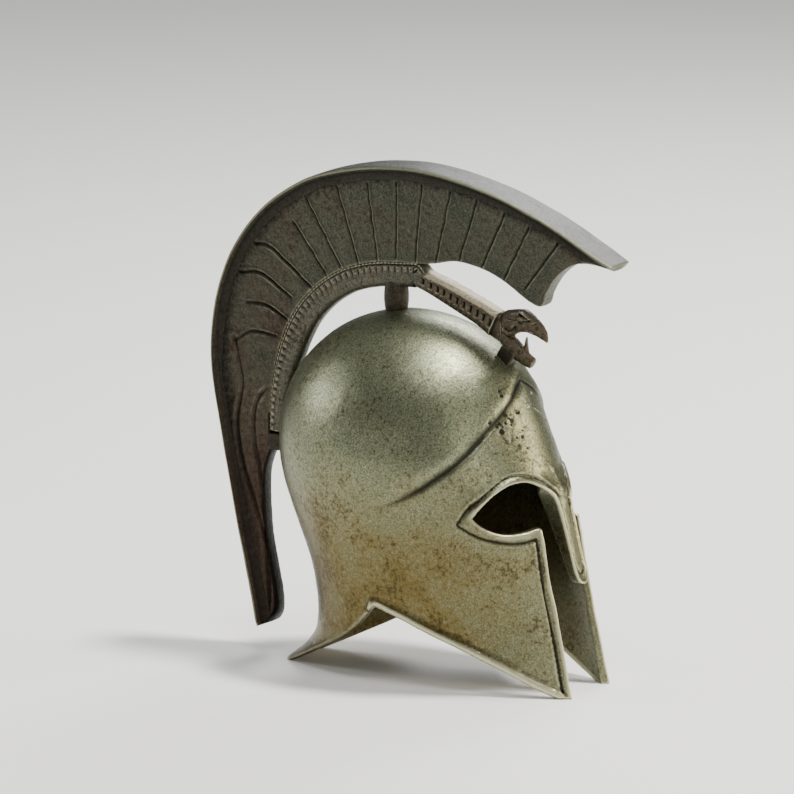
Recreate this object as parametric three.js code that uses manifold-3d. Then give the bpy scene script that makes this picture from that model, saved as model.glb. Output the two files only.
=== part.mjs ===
// A desk-size Greek bronze helmet: a cast shell with eye openings, nose guard, cheek pieces and neck guard,
// and a high fluted crest on a corded band that ends in a bird's head.
// Millimetres, +Z up, the face looks along -Y and the shell stands on its cheek tips and neck guard.

import * as THREE from 'three';
import { mergeVertices } from 'three/addons/utils/BufferGeometryUtils.js';
import Module from 'manifold-3d';

// Driving dimensions of the shell
const SHELL_HEIGHT = 192;      // table to crown
const BOWL_WIDTH = 114;        // across the widest part
const BOWL_BACK = 74;          // bowl's upright axis to the back of the head
const FACE_REACH = 120;        // same axis to the prow that the cheek pieces point at
const AXIS_BACK = 0.875 * FACE_REACH; // same axis behind the plane of the cheek tips
const WALL = 3.5;              // cast wall
const RIM_WIDTH = 5;           // raised border of eyes, nose guard and cheek pieces
const RIM_PROUD = 1;           // height of that border
const BROW_STEP = 2.4;         // how far the bowl overhangs the face plate at the brow
const BROW_FADE = 28;          // height over which the overhang dies away above and below
const BROW_SPLIT = 0.4;        // share of the step that stands out of the bowl, the rest sinks the face plate
const BROW_TURNS = { none: 96, full: 64 }; // degrees from the face where the step ends and where it is whole

// Driving dimensions of the crest and its mounting
const CREST_TOP = 1.401 * SHELL_HEIGHT; // table to the top of the rim
const CREST_FRONT = 18;        // how far the front tip passes the cheek tips
const CREST_BEHIND = 43;       // how far the crest's back passes the back of the head
const RIM_FLANGE_WIDTH = 22;   // flat outer band of the plume
const RIM_FLANGE_THICK = 1.8;
const RIM_ROUND = 0.6;         // its rounded corner
const PLUME_THICK = 14;        // plume beside the flange
const PLUME_EDGE_THICK = 10;   // plume at its inner edge
const COVE_DEPTH = 8;          // hollow moulding under the flange
const FLUTE_DEPTH = 1.2;       // cut lines between the plume's feathers
const BAND_WIDTH = 12;         // corded band, side to side
const BAND_HEIGHT = 12.4;      // corded band, seen from the side
const HEAD_WIDTH = 11;         // bird's head
const POST_RADIUS = 6.6;       // barrel post on the crown
const POST_BACK = AXIS_BACK + 10; // post behind the cheek tips
const FOOT_LENGTH = 9;         // block under the bird's neck
const FOOT_WIDTH = 9;
const FOOT_BACK = AXIS_BACK - 0.463 * FACE_REACH;
const FOOT_TALL = 0.055 * SHELL_HEIGHT; // before it is cut to the neck
const FOOT_LEAN = 31;          // degrees, square to the bowl under it
const BRACKET_WIDTH = 11;      // block between the nape and the plume
const BRACKET_HEIGHT = 9;
const BRACKET_LOW = 0.568 * SHELL_HEIGHT; // its underside above the table
const CLEARANCE = 0.3;         // between pieces that touch

// Plan sections of the shell. Shares of SHELL_HEIGHT, half BOWL_WIDTH, FACE_REACH and BOWL_BACK.
const SECTIONS = [
  { height: 0.000, side: 0.745, front: 1.000, back: 0.980 },
  { height: 0.035, side: 0.745, front: 0.982, back: 0.860 },
  { height: 0.090, side: 0.748, front: 0.957, back: 0.736 },
  { height: 0.146, side: 0.754, front: 0.930, back: 0.702 },
  { height: 0.234, side: 0.780, front: 0.888, back: 0.716 },
  { height: 0.312, side: 0.825, front: 0.850, back: 0.763 },
  { height: 0.390, side: 0.877, front: 0.816, back: 0.838 },
  { height: 0.469, side: 0.930, front: 0.783, back: 0.919 },
  { height: 0.547, side: 0.979, front: 0.750, back: 0.977 },
  { height: 0.635, side: 1.000, front: 0.705, back: 1.000 },
  { height: 0.693, side: 0.983, front: 0.668, back: 0.986 },
  { height: 0.750, side: 0.949, front: 0.633, back: 0.947 },
  { height: 0.807, side: 0.882, front: 0.592, back: 0.882 },
  { height: 0.859, side: 0.788, front: 0.528, back: 0.790 },
  { height: 0.901, side: 0.683, front: 0.446, back: 0.684 },
  { height: 0.937, side: 0.560, front: 0.362, back: 0.562 },
  { height: 0.966, side: 0.418, front: 0.268, back: 0.420 },
  { height: 0.986, side: 0.268, front: 0.170, back: 0.270 },
  { height: 1.000, side: 0.000, front: 0.000, back: 0.000 },
];

// Outlines on the shell. Turn is in degrees round the bowl's axis from the middle of the face,
// height a share of SHELL_HEIGHT.
const BROW_LINE = [
  { turn: 0, height: 0.850 }, { turn: 7, height: 0.839 }, { turn: 14, height: 0.814 },
  { turn: 20, height: 0.790 }, { turn: 29, height: 0.757 }, { turn: 39, height: 0.710 },
  { turn: 44, height: 0.683 }, { turn: 52, height: 0.643 }, { turn: 59, height: 0.612 },
  { turn: 67, height: 0.573 }, { turn: 75, height: 0.541 }, { turn: 85, height: 0.505 },
  { turn: 95, height: 0.490 }, { turn: 180, height: 0.490 },
];
const FACE_OPENING = [
  { turn: 27.6, height: -0.040 }, { turn: 27.6, height: 0.000 }, { turn: 26.4, height: 0.103 },
  { turn: 25.6, height: 0.184 }, { turn: 23.9, height: 0.315 }, { turn: 22.3, height: 0.393 },
  { turn: 21.4, height: 0.461 }, { turn: 24.0, height: 0.460 }, { turn: 29.8, height: 0.454 },
  { turn: 36.3, height: 0.448 }, { turn: 41.0, height: 0.451 }, { turn: 45.0, height: 0.460 },
  { turn: 50.4, height: 0.493 }, { turn: 46.5, height: 0.520 }, { turn: 42.4, height: 0.543 },
  { turn: 34.5, height: 0.573 }, { turn: 29.7, height: 0.582 }, { turn: 22.7, height: 0.584 },
  { turn: 17.3, height: 0.574 }, { turn: 12.4, height: 0.556 }, { turn: 8.6, height: 0.532 },
  { turn: 7.0, height: 0.501 }, { turn: 6.7, height: 0.414 }, { turn: 6.8, height: 0.341 },
  { turn: 6.2, height: 0.318 }, { turn: 4.2, height: 0.303 }, { turn: 1.5, height: 0.297 },
];
const LOWER_EDGE = [
  { turn: 33.5, height: 0.000 }, { turn: 42.7, height: 0.032 }, { turn: 51.9, height: 0.072 },
  { turn: 63.6, height: 0.121 }, { turn: 72.3, height: 0.154 }, { turn: 81.0, height: 0.190 },
  { turn: 88.9, height: 0.219 }, { turn: 97.8, height: 0.171 }, { turn: 109.4, height: 0.127 },
  { turn: 125.0, height: 0.087 }, { turn: 141.0, height: 0.047 }, { turn: 157.0, height: 0.000 },
];

// The nose guard is a deep rib behind its face: half width in degrees, and depth as a share of NOSE_DEPTH
const NOSE_DEPTH = 11;
const NOSE_RIB = [
  { height: 0.280, turn: 8, deep: 0.42 }, { height: 0.400, turn: 8, deep: 0.68 },
  { height: 0.500, turn: 8, deep: 0.95 }, { height: 0.545, turn: 11, deep: 1.00 },
  { height: 0.590, turn: 12, deep: 0.70 }, { height: 0.630, turn: 12, deep: 0.28 },
];

// The plume from its front tip over the top to its tail. Rim and edge are places on its outer and inner
// outlines, along as a share of the crest's length from the front tip, up as a share of CREST_TOP.
// Flute marks a cut line.
const PLUME = [
  { rimAlong: 0.000, rimUp: 0.849, edgeAlong: 0.004, edgeUp: 0.838, flute: 0 },
  { rimAlong: 0.042, rimUp: 0.869, edgeAlong: 0.052, edgeUp: 0.845, flute: 0 },
  { rimAlong: 0.083, rimUp: 0.888, edgeAlong: 0.092, edgeUp: 0.844, flute: 0 },
  { rimAlong: 0.112, rimUp: 0.902, edgeAlong: 0.120, edgeUp: 0.833, flute: 0 },
  { rimAlong: 0.137, rimUp: 0.913, edgeAlong: 0.149, edgeUp: 0.810, flute: 0 },
  { rimAlong: 0.158, rimUp: 0.922, edgeAlong: 0.171, edgeUp: 0.779, flute: 0 },
  { rimAlong: 0.175, rimUp: 0.929, edgeAlong: 0.183, edgeUp: 0.753, flute: 0 },
  { rimAlong: 0.200, rimUp: 0.938, edgeAlong: 0.213, edgeUp: 0.760, flute: 1 },
  { rimAlong: 0.254, rimUp: 0.957, edgeAlong: 0.254, edgeUp: 0.783, flute: 1 },
  { rimAlong: 0.308, rimUp: 0.972, edgeAlong: 0.296, edgeUp: 0.803, flute: 1 },
  { rimAlong: 0.363, rimUp: 0.984, edgeAlong: 0.342, edgeUp: 0.816, flute: 1 },
  { rimAlong: 0.417, rimUp: 0.993, edgeAlong: 0.396, edgeUp: 0.822, flute: 1 },
  { rimAlong: 0.471, rimUp: 0.999, edgeAlong: 0.450, edgeUp: 0.813, flute: 1 },
  { rimAlong: 0.521, rimUp: 1.000, edgeAlong: 0.492, edgeUp: 0.809, flute: 1 },
  { rimAlong: 0.575, rimUp: 0.997, edgeAlong: 0.538, edgeUp: 0.808, flute: 1 },
  { rimAlong: 0.633, rimUp: 0.990, edgeAlong: 0.583, edgeUp: 0.805, flute: 1 },
  { rimAlong: 0.692, rimUp: 0.978, edgeAlong: 0.629, edgeUp: 0.797, flute: 1 },
  { rimAlong: 0.750, rimUp: 0.961, edgeAlong: 0.679, edgeUp: 0.782, flute: 1 },
  { rimAlong: 0.804, rimUp: 0.935, edgeAlong: 0.729, edgeUp: 0.755, flute: 1 },
  { rimAlong: 0.858, rimUp: 0.900, edgeAlong: 0.767, edgeUp: 0.725, flute: 1 },
  { rimAlong: 0.904, rimUp: 0.857, edgeAlong: 0.797, edgeUp: 0.692, flute: 1 },
  { rimAlong: 0.942, rimUp: 0.807, edgeAlong: 0.822, edgeUp: 0.652, flute: 1 },
  { rimAlong: 0.969, rimUp: 0.755, edgeAlong: 0.840, edgeUp: 0.609, flute: 1 },
  { rimAlong: 0.988, rimUp: 0.697, edgeAlong: 0.852, edgeUp: 0.564, flute: 0 },
  { rimAlong: 0.998, rimUp: 0.632, edgeAlong: 0.861, edgeUp: 0.509, flute: 0 },
  { rimAlong: 0.999, rimUp: 0.576, edgeAlong: 0.863, edgeUp: 0.444, flute: 0 },
  { rimAlong: 0.992, rimUp: 0.524, edgeAlong: 0.861, edgeUp: 0.410, flute: 0 },
  { rimAlong: 0.981, rimUp: 0.472, edgeAlong: 0.871, edgeUp: 0.383, flute: 0 },
  { rimAlong: 0.969, rimUp: 0.413, edgeAlong: 0.879, edgeUp: 0.353, flute: 0 },
  { rimAlong: 0.954, rimUp: 0.346, edgeAlong: 0.879, edgeUp: 0.297, flute: 0 },
  { rimAlong: 0.935, rimUp: 0.260, edgeAlong: 0.873, edgeUp: 0.230, flute: 0 },
  { rimAlong: 0.915, rimUp: 0.178, edgeAlong: 0.860, edgeUp: 0.171, flute: 0 },
  { rimAlong: 0.899, rimUp: 0.112, edgeAlong: 0.848, edgeUp: 0.115, flute: 0 },
  { rimAlong: 0.890, rimUp: 0.070, edgeAlong: 0.848, edgeUp: 0.082, flute: 0 },
  { rimAlong: 0.884, rimUp: 0.053, edgeAlong: 0.863, edgeUp: 0.060, flute: 0 },
];

// The band follows the plume's inner edge from its nape end to the fork, rows counted in the plume's table.
const NAPE_ROW = 25;
const FORK_ROW = 13;
// Beyond the fork it is the bird's neck: places on its upper outline, and its height as a share of BAND_HEIGHT.
const NECK = [
  { along: 0.468, up: 0.793, tall: 0.84 }, { along: 0.420, up: 0.779, tall: 0.94 },
  { along: 0.370, up: 0.761, tall: 1.00 }, { along: 0.320, up: 0.742, tall: 1.06 },
  { along: 0.290, up: 0.729, tall: 1.16 },
];

// Side outline of the bird's head, hooked beak open. Along and up as for the crest.
const HEAD = [
  { along: 0.286, up: 0.730 }, { along: 0.275, up: 0.734 }, { along: 0.257, up: 0.738 },
  { along: 0.235, up: 0.741 }, { along: 0.224, up: 0.737 }, { along: 0.212, up: 0.727 },
  { along: 0.198, up: 0.721 }, { along: 0.186, up: 0.712 }, { along: 0.180, up: 0.699 },
  { along: 0.177, up: 0.684 }, { along: 0.180, up: 0.677 }, { along: 0.204, up: 0.687 },
  { along: 0.219, up: 0.692 }, { along: 0.245, up: 0.691 }, { along: 0.259, up: 0.684 },
  { along: 0.258, up: 0.673 }, { along: 0.231, up: 0.664 }, { along: 0.202, up: 0.646 },
  { along: 0.217, up: 0.632 }, { along: 0.222, up: 0.624 }, { along: 0.232, up: 0.624 },
  { along: 0.252, up: 0.650 }, { along: 0.268, up: 0.660 }, { along: 0.286, up: 0.668 },
];
// Plan outline of the head, one half: along as for the crest and half widths as shares of HEAD_WIDTH.
const HEAD_PLAN = [
  { along: 0.286, wide: 0.42 }, { along: 0.262, wide: 0.50 }, { along: 0.236, wide: 0.48 },
  { along: 0.215, wide: 0.34 }, { along: 0.198, wide: 0.20 }, { along: 0.174, wide: 0.09 },
];

const wasm = await Module();
wasm.setup();

function toSolid(geometry) {
  const bare = geometry.clone();
  bare.deleteAttribute('normal');
  bare.deleteAttribute('uv');
  const merged = mergeVertices(bare, 1e-4);
  return new wasm.Manifold(new wasm.Mesh({
    numProp: 3,
    vertProperties: Float32Array.from(merged.attributes.position.array),
    triVerts: Uint32Array.from(merged.index.array),
  }));
}

const FINEST = 0.02;           // details below this size are cleared away after a cut

function toGeometry(solid) {
  const mesh = solid.simplify(FINEST).getMesh();
  const geometry = new THREE.BufferGeometry();
  geometry.setAttribute('position', new THREE.BufferAttribute(mesh.vertProperties, 3));
  geometry.setIndex(new THREE.BufferAttribute(mesh.triVerts, 1));
  geometry.computeVertexNormals();
  return geometry;
}

// Value of one column of a table at a place in another, by straight steps
function lookUp(table, key, value, column) {
  const last = table.length - 1;
  if (value <= table[0][key]) return table[0][column];
  if (value >= table[last][key]) return table[last][column];
  const i = table.findIndex((row) => row[key] >= value);
  const share = (value - table[i - 1][key]) / (table[i][key] - table[i - 1][key]);
  return THREE.MathUtils.lerp(table[i - 1][column], table[i][column], share);
}

// A place on the shell: turn in degrees, height in millimetres, out is the distance outside the bare surface
function shellPoint(turn, height, out = 0) {
  const share = THREE.MathUtils.clamp(height / SHELL_HEIGHT, 0, 1);
  const angle = THREE.MathUtils.degToRad(turn);
  const side = lookUp(SECTIONS, 'height', share, 'side') * BOWL_WIDTH / 2;
  const front = lookUp(SECTIONS, 'height', share, 'front') * FACE_REACH;
  const back = lookUp(SECTIONS, 'height', share, 'back') * BOWL_BACK;
  const reach = Math.cos(angle) > 0 ? front : back;
  const across = Math.max(side + out, 0);
  const along = Math.max(reach + out, 0);
  return new THREE.Vector3(-across * Math.sin(angle), AXIS_BACK - along * Math.cos(angle), height);
}

// How far the surface stands out at the brow line's step: above it the bowl, below it the face plate
function browOffset(turn, distance) {
  const fade = 1 - THREE.MathUtils.smoothstep(Math.abs(turn), BROW_TURNS.full, BROW_TURNS.none);
  const near = 1 - THREE.MathUtils.smoothstep(Math.abs(distance), 0, BROW_FADE);
  return (distance >= 0 ? BROW_SPLIT : BROW_SPLIT - 1) * BROW_STEP * fade * near;
}

// Closed body from rings of points, each ring listed from the same side; ends closed by one point each
function closeRings(rings, capA, capB) {
  const count = rings[0].length;
  const points = rings.flat();
  points.push(capA, capB);
  const index = [];
  for (let r = 0; r + 1 < rings.length; r += 1) {
    for (let c = 0; c < count; c += 1) {
      const n = (c + 1) % count;
      const a = r * count;
      const b = a + count;
      index.push(a + c, b + c, a + n, a + n, b + c, b + n);
    }
  }
  const first = points.length - 2;
  const lastRing = (rings.length - 1) * count;
  for (let c = 0; c < count; c += 1) {
    const n = (c + 1) % count;
    index.push(first, c, n);
    index.push(first + 1, lastRing + n, lastRing + c);
  }
  const geometry = new THREE.BufferGeometry().setFromPoints(points);
  geometry.setIndex(index);
  return turnOutward(geometry);
}

// Faces of a closed body turned to point out
function turnOutward(geometry) {
  const place = geometry.attributes.position;
  const index = geometry.index.array;
  const [a, b, c] = [new THREE.Vector3(), new THREE.Vector3(), new THREE.Vector3()];
  let volume = 0;
  for (let i = 0; i < index.length; i += 3) {
    a.fromBufferAttribute(place, index[i]);
    b.fromBufferAttribute(place, index[i + 1]);
    c.fromBufferAttribute(place, index[i + 2]);
    volume += a.dot(b.cross(c));
  }
  if (volume < 0) {
    for (let i = 0; i < index.length; i += 3) {
      [index[i + 1], index[i + 2]] = [index[i + 2], index[i + 1]];
    }
  }
  geometry.computeVertexNormals();
  return geometry;
}

const COLUMNS = 64;
const BOWL_RINGS = [0.93, 0.84, 0.74, 0.63, 0.51, 0.38, 0.25, 0.12];
const FACE_RINGS = [0.015, 0.1, 0.2, 0.31, 0.43, 0.54, 0.64, 0.73, 0.8, 0.86, 0.92, 0.965, 1];

function shellOuter(grow = 0) {
  const turns = Array.from({ length: COLUMNS }, (_, c) => -180 + (360 * c) / COLUMNS);
  const brow = turns.map((turn) => SHELL_HEIGHT * lookUp(BROW_LINE, 'turn', Math.abs(turn), 'height'));
  const rings = [];
  for (const share of [...BOWL_RINGS, 0]) {
    rings.push(turns.map((turn, c) => {
      const height = brow[c] + (SHELL_HEIGHT - brow[c]) * Math.sin((share * Math.PI) / 2);
      return shellPoint(turn, height, browOffset(turn, height - brow[c]) + grow);
    }));
  }
  for (const share of FACE_RINGS) {
    rings.push(turns.map((turn, c) => {
      const height = brow[c] * (1 - share);
      return shellPoint(turn, height, browOffset(turn, height - brow[c]) + grow);
    }));
  }
  const crown = new THREE.Vector3(0, AXIS_BACK, SHELL_HEIGHT + grow);
  return closeRings(rings, crown, new THREE.Vector3(0, AXIS_BACK, 0));
}

const HOLLOW_COLUMNS = 48;
const HOLLOW_RINGS = 15;
const OVERCUT = 2.3 * WALL;    // how far cutters pass the faces that they cut

function shellHollow() {
  const turns = Array.from({ length: HOLLOW_COLUMNS }, (_, c) => -180 + (360 * c) / HOLLOW_COLUMNS);
  const roof = SHELL_HEIGHT - WALL;
  const rings = [];
  for (let r = 0; r < HOLLOW_RINGS; r += 1) {
    const height = roof * Math.sin(((r / HOLLOW_RINGS) * Math.PI) / 2);
    const lift = height * (SHELL_HEIGHT / roof);
    rings.push(turns.map((turn) => shellPoint(turn, lift, -WALL).setZ(height)));
  }
  rings.unshift(turns.map((turn) => shellPoint(turn, 0, -WALL).setZ(-OVERCUT)));
  return closeRings(rings, new THREE.Vector3(0, AXIS_BACK, -OVERCUT), new THREE.Vector3(0, AXIS_BACK, roof));
}

const OUTLINE_STEP = { turn: 5, height: SHELL_HEIGHT / 16 };
const BOW = 0.01;              // a step is bowed by a hair's breadth, as points in line can't be filled

// An outline on the shell cut into short steps
function fineOutline(outline, closed) {
  const points = outline.map((row) => new THREE.Vector2(row.turn, row.height * SHELL_HEIGHT));
  const fine = [];
  const count = closed ? points.length : points.length - 1;
  for (let i = 0; i < count; i += 1) {
    const a = points[i];
    const b = points[(i + 1) % points.length];
    const [turns, rise] = [Math.abs(b.x - a.x), Math.abs(b.y - a.y)];
    const steps = Math.max(1, Math.ceil(Math.max(turns / OUTLINE_STEP.turn, rise / OUTLINE_STEP.height)));
    for (let s = 0; s < steps; s += 1) {
      const bow = BOW * Math.sin((Math.PI * s) / steps);
      fine.push(a.clone().lerp(b, s / steps).add(new THREE.Vector2(bow, bow)));
    }
  }
  if (!closed) fine.push(points[points.length - 1]);
  return fine;
}

// Prism over an outline on the shell, through a row of distances off the surface, which may vary with height
function shellPrism(outline, ...layers) {
  const faces = THREE.ShapeUtils.triangulateShape(outline, []);
  const count = outline.length;
  const top = (layers.length - 1) * count;
  const away = (out, p) => (typeof out === 'function' ? out(p.y / SHELL_HEIGHT) : out);
  const points = layers.flatMap((out) => outline.map((p) => shellPoint(p.x, p.y, away(out, p)).setZ(p.y)));
  const index = [];
  for (const [a, b, c] of faces) index.push(a, c, b, a + top, b + top, c + top);
  const turnsLeft = THREE.ShapeUtils.area(outline) > 0;
  for (let start = 0; start < top; start += count) {
    for (let i = 0; i < count; i += 1) {
      const [low, next] = [start + i, start + ((i + 1) % count)];
      if (turnsLeft) index.push(low, next, next + count, low, next + count, low + count);
      else index.push(low, next + count, next, low, low + count, next + count);
    }
  }
  const geometry = new THREE.BufferGeometry().setFromPoints(points);
  geometry.setIndex(index);
  return turnOutward(geometry);
}

const mirrored = (outline) => outline.map((row) => ({ ...row, turn: -row.turn })).reverse();

// Part of the outline moved sideways over the surface by a distance in millimetres, corners kept sharp
function shifted(outline, distance, from = 0, to = outline.length - 1) {
  const last = outline.length - 1;
  const degree = (p) => shellPoint(p.x + 1, p.y).distanceTo(shellPoint(p.x, p.y));
  const moved = outline.map((p, i) => {
    const east = degree(p);
    const square = (a, b) => new THREE.Vector2(a.y - b.y, (b.x - a.x) * east).normalize();
    const before = square(outline[Math.max(i - 1, 0)], outline[Math.max(i, 1)]);
    const after = square(outline[Math.min(i, last - 1)], outline[Math.min(i + 1, last)]);
    const away = before.clone().add(after).multiplyScalar(distance / Math.max(1 + before.dot(after), 0.5));
    return new THREE.Vector2(p.x + away.x / east, p.y + away.y);
  });
  // Beside an inner corner some points land too near the outline, and are left out
  return moved.slice(from, to + 1).filter((p) => {
    const flat = (q) => new THREE.Vector3(q.x * degree(p), q.y, 0);
    const gap = (q, i) => new THREE.Line3(flat(outline[Math.max(i - 1, 0)]), flat(q))
      .closestPointToPoint(flat(p), true, new THREE.Vector3()).distanceTo(flat(p));
    return Math.min(...outline.map(gap)) > 0.95 * Math.abs(distance);
  });
}

// Distances off the surface that a cutter runs through
const CUT_LAYERS = [-0.26 * BOWL_WIDTH, -WALL * 1.5, RIM_PROUD * 2, 0.6 * BOWL_WIDTH];
const RIM_OVERLAP = 0.2 * WALL; // rims start past the edge, which is then cut clean
// Rows of the opening's outline where its raised border starts, turns and ends: cheek tip, both eye corners, nose
const BORDER_ROWS = [0, 6, 12, 19];

function noseRib() {
  const right = NOSE_RIB.map((row) => new THREE.Vector2(row.turn, row.height * SHELL_HEIGHT));
  const outline = [...right, ...right.map((p) => new THREE.Vector2(-p.x, p.y)).reverse()];
  const back = (height) => -NOSE_DEPTH * lookUp(NOSE_RIB, 'height', height, 'deep');
  return toSolid(shellPrism(outline, back, -WALL / 2));
}

function helmetShell() {
  let solid = toSolid(shellOuter());
  const rimRoot = -WALL / 2;
  const facePath = fineOutline(FACE_OPENING, false);
  const turns = BORDER_ROWS.map((row) => facePath.findIndex((p) => (
    Math.hypot(p.x - FACE_OPENING[row].turn, p.y - FACE_OPENING[row].height * SHELL_HEIGHT) < BOW)));
  const cheekPath = fineOutline(LOWER_EDGE.slice(0, 7), false);
  const tools = [];
  for (const side of [1, -1]) {
    const flip = (points) => points.map((p) => new THREE.Vector2(p.x * side, p.y));
    const faceRims = turns.slice(1).map((to, i) => [
      ...shifted(facePath, RIM_OVERLAP, turns[i], to), ...shifted(facePath, -RIM_WIDTH, turns[i], to).reverse(),
    ]);
    const cheekRim = [...shifted(cheekPath, -RIM_OVERLAP), ...shifted(cheekPath, RIM_WIDTH).reverse()];
    for (const rim of faceRims) solid = solid.add(toSolid(shellPrism(flip(rim), rimRoot, RIM_PROUD)));
    solid = solid.add(toSolid(shellPrism(flip(cheekRim), rimRoot, RIM_PROUD)));
    const under = fineOutline(LOWER_EDGE, false);
    under.unshift(new THREE.Vector2(under[0].x, -OVERCUT));
    under.push(new THREE.Vector2(under[under.length - 1].x, -OVERCUT));
    tools.push(toSolid(shellPrism(flip(under), ...CUT_LAYERS)));
  }
  solid = solid.subtract(toSolid(shellHollow())).add(noseRib());
  const opening = fineOutline([...FACE_OPENING, ...mirrored(FACE_OPENING)], true);
  tools.push(toSolid(shellPrism(opening, ...CUT_LAYERS)));
  const table = new THREE.BoxGeometry(BOWL_WIDTH * 2, FACE_REACH * 4, OVERCUT * 2);
  table.translate(0, AXIS_BACK, -OVERCUT);
  tools.push(toSolid(table));
  for (const tool of tools) solid = solid.subtract(tool);
  return toGeometry(solid);
}

const AXIS_ALONG = 0.5125;     // where the bowl's axis falls along the crest

// A place on the crest's middle plane from its shares, which keep its curve round the bowl
function crestPlace(along, up) {
  const ahead = (CREST_FRONT + AXIS_BACK) / AXIS_ALONG;
  const behind = (CREST_BEHIND + BOWL_BACK) / (1 - AXIS_ALONG);
  const reach = (along - AXIS_ALONG) * (along < AXIS_ALONG ? ahead : behind);
  return new THREE.Vector2(AXIS_BACK + reach, up * CREST_TOP);
}

function smoothPath(places) {
  const points = places.map((p) => new THREE.Vector3(0, p.x, p.y));
  return new THREE.CatmullRomCurve3(points, false, 'catmullrom', 0.5);
}

const TIP_TAPER = 0.9;         // width of the rim at its front tip
const FLUTE_HALF = 0.14;       // half the width of a cut line, in steps of the plume's table

function crestPlume(grow = 0) {
  const rim = smoothPath(PLUME.map((row) => crestPlace(row.rimAlong, row.rimUp)));
  const edge = smoothPath(PLUME.map((row) => crestPlace(row.edgeAlong, row.edgeUp)));
  const last = PLUME.length - 1;
  const stations = [];
  PLUME.forEach((row, i) => {
    if (row.flute) stations.push([i - FLUTE_HALF, 0], [i, 1], [i + FLUTE_HALF, 0]);
    else stations.push([i, 0]);
    if (i < last) stations.push([i + 0.5, 0]);
  });
  const rings = stations.map(([step, cut]) => {
    const outer = rim.getPoint(step / last);
    const inner = edge.getPoint(step / last);
    inner.add(inner.clone().sub(outer).setLength(grow));
    const depth = outer.distanceTo(inner);
    const across = RIM_FLANGE_WIDTH / 2 * THREE.MathUtils.lerp(TIP_TAPER, 1, Math.min(step, 1));
    const flange = Math.min(RIM_FLANGE_THICK, depth * 0.6);
    const cove = Math.min(COVE_DEPTH, depth * 0.85);
    const body = Math.min(PLUME_THICK / 2, across * 0.8) - cut * FLUTE_DEPTH + grow;
    const lip = Math.min(PLUME_EDGE_THICK / 2 + grow, body);
    const half = [
      [0, across - RIM_ROUND], [RIM_ROUND * flange / RIM_FLANGE_THICK, across], [flange, across],
      [THREE.MathUtils.lerp(flange, cove, 0.4), THREE.MathUtils.lerp(across, body, 0.75)],
      [cove, body], [THREE.MathUtils.lerp(cove, depth, 0.8), THREE.MathUtils.lerp(body, lip, 0.7)],
      [depth, lip],
    ];
    const place = ([down, x]) => outer.clone().lerp(inner, down / depth).setX(x);
    return [...half.map(place), ...half.slice().reverse().map(([down, x]) => place([down, -x]))];
  });
  const middle = (ring) => ring.reduce((sum, p) => sum.add(p), new THREE.Vector3()).divideScalar(ring.length);
  return closeRings(rings, middle(rings[0]), middle(rings[rings.length - 1]));
}

const NAPE_TALL = 0.6;         // the band's height at its nape end, as a share, and its growth for each row
const NAPE_GROWTH = 0.12;
const BAND_BOXINESS = 0.7;     // 1 is an oval section, towards 0 a square one
const BAND_STEPS = 42;
const BAND_SIDES = 10;

function crestBand(grow = 0) {
  const fork = PLUME.slice(FORK_ROW, NAPE_ROW + 1).reverse();
  const rows = [
    ...fork.map((row, i) => ({
      place: crestPlace(row.edgeAlong, row.edgeUp),
      tall: Math.min(NAPE_TALL + i * NAPE_GROWTH, 1),
    })),
    ...NECK.map((row) => ({ place: crestPlace(row.along, row.up), tall: row.tall })),
  ].map((row, i) => ({ ...row, i }));
  const path = smoothPath(rows.map((row) => row.place));
  const rings = [];
  for (let s = 0; s <= BAND_STEPS; s += 1) {
    const share = s / BAND_STEPS;
    const tall = BAND_HEIGHT * lookUp(rows, 'i', share * (rows.length - 1), 'tall');
    const run = path.getTangent(share);
    const up = new THREE.Vector3(0, run.z, -run.y);
    const middle = path.getPoint(share).addScaledVector(up, -(CLEARANCE + tall / 2));
    rings.push(Array.from({ length: BAND_SIDES }, (_, c) => {
      const angle = (2 * Math.PI * (c + 0.5)) / BAND_SIDES;
      const boxy = (v) => Math.sign(v) * Math.abs(v) ** BAND_BOXINESS;
      return middle.clone()
        .addScaledVector(up, boxy(Math.cos(angle)) * (tall / 2 + grow))
        .setX(boxy(Math.sin(angle)) * (BAND_WIDTH / 2 + grow));
    }));
  }
  const centre = (ring) => ring.reduce((sum, p) => sum.add(p), new THREE.Vector3()).divideScalar(ring.length);
  return closeRings(rings, centre(rings[0]), centre(rings[rings.length - 1]));
}

// The side outline given the thickness of the plan outline
function headSolid(shift = 0) {
  const side = new THREE.Shape(HEAD.map((row) => crestPlace(row.along, row.up)));
  const sideBody = new THREE.ExtrudeGeometry(side, { depth: HEAD_WIDTH * 2, bevelEnabled: false });
  sideBody.translate(0, 0, -HEAD_WIDTH);
  sideBody.applyMatrix4(new THREE.Matrix4().makeBasis(
    new THREE.Vector3(0, 1, 0), new THREE.Vector3(0, 0, 1), new THREE.Vector3(1, 0, 0),
  ));
  const half = HEAD_PLAN.map((row) => new THREE.Vector2(row.wide * HEAD_WIDTH, crestPlace(row.along, 0).x));
  const plan = new THREE.Shape([...half, ...half.map((p) => new THREE.Vector2(-p.x, p.y)).reverse()]);
  const planBody = new THREE.ExtrudeGeometry(plan, { depth: CREST_TOP, bevelEnabled: false });
  sideBody.translate(0, shift, -shift);
  planBody.translate(0, shift, 0);
  return toSolid(sideBody).intersect(toSolid(planBody));
}

// Height of the bowl over the middle plane at a distance behind the cheek tips
function bowlHeight(back) {
  const front = back < AXIS_BACK;
  const rows = SECTIONS.slice(-9).reverse().map((row) => ({
    reach: front ? row.front * FACE_REACH : row.back * BOWL_BACK,
    height: row.height * SHELL_HEIGHT,
  }));
  return lookUp(rows, 'reach', Math.abs(back - AXIS_BACK), 'height');
}

const POST_BULGE = 0.86;       // end radius of the barrel, share of its middle

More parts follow.
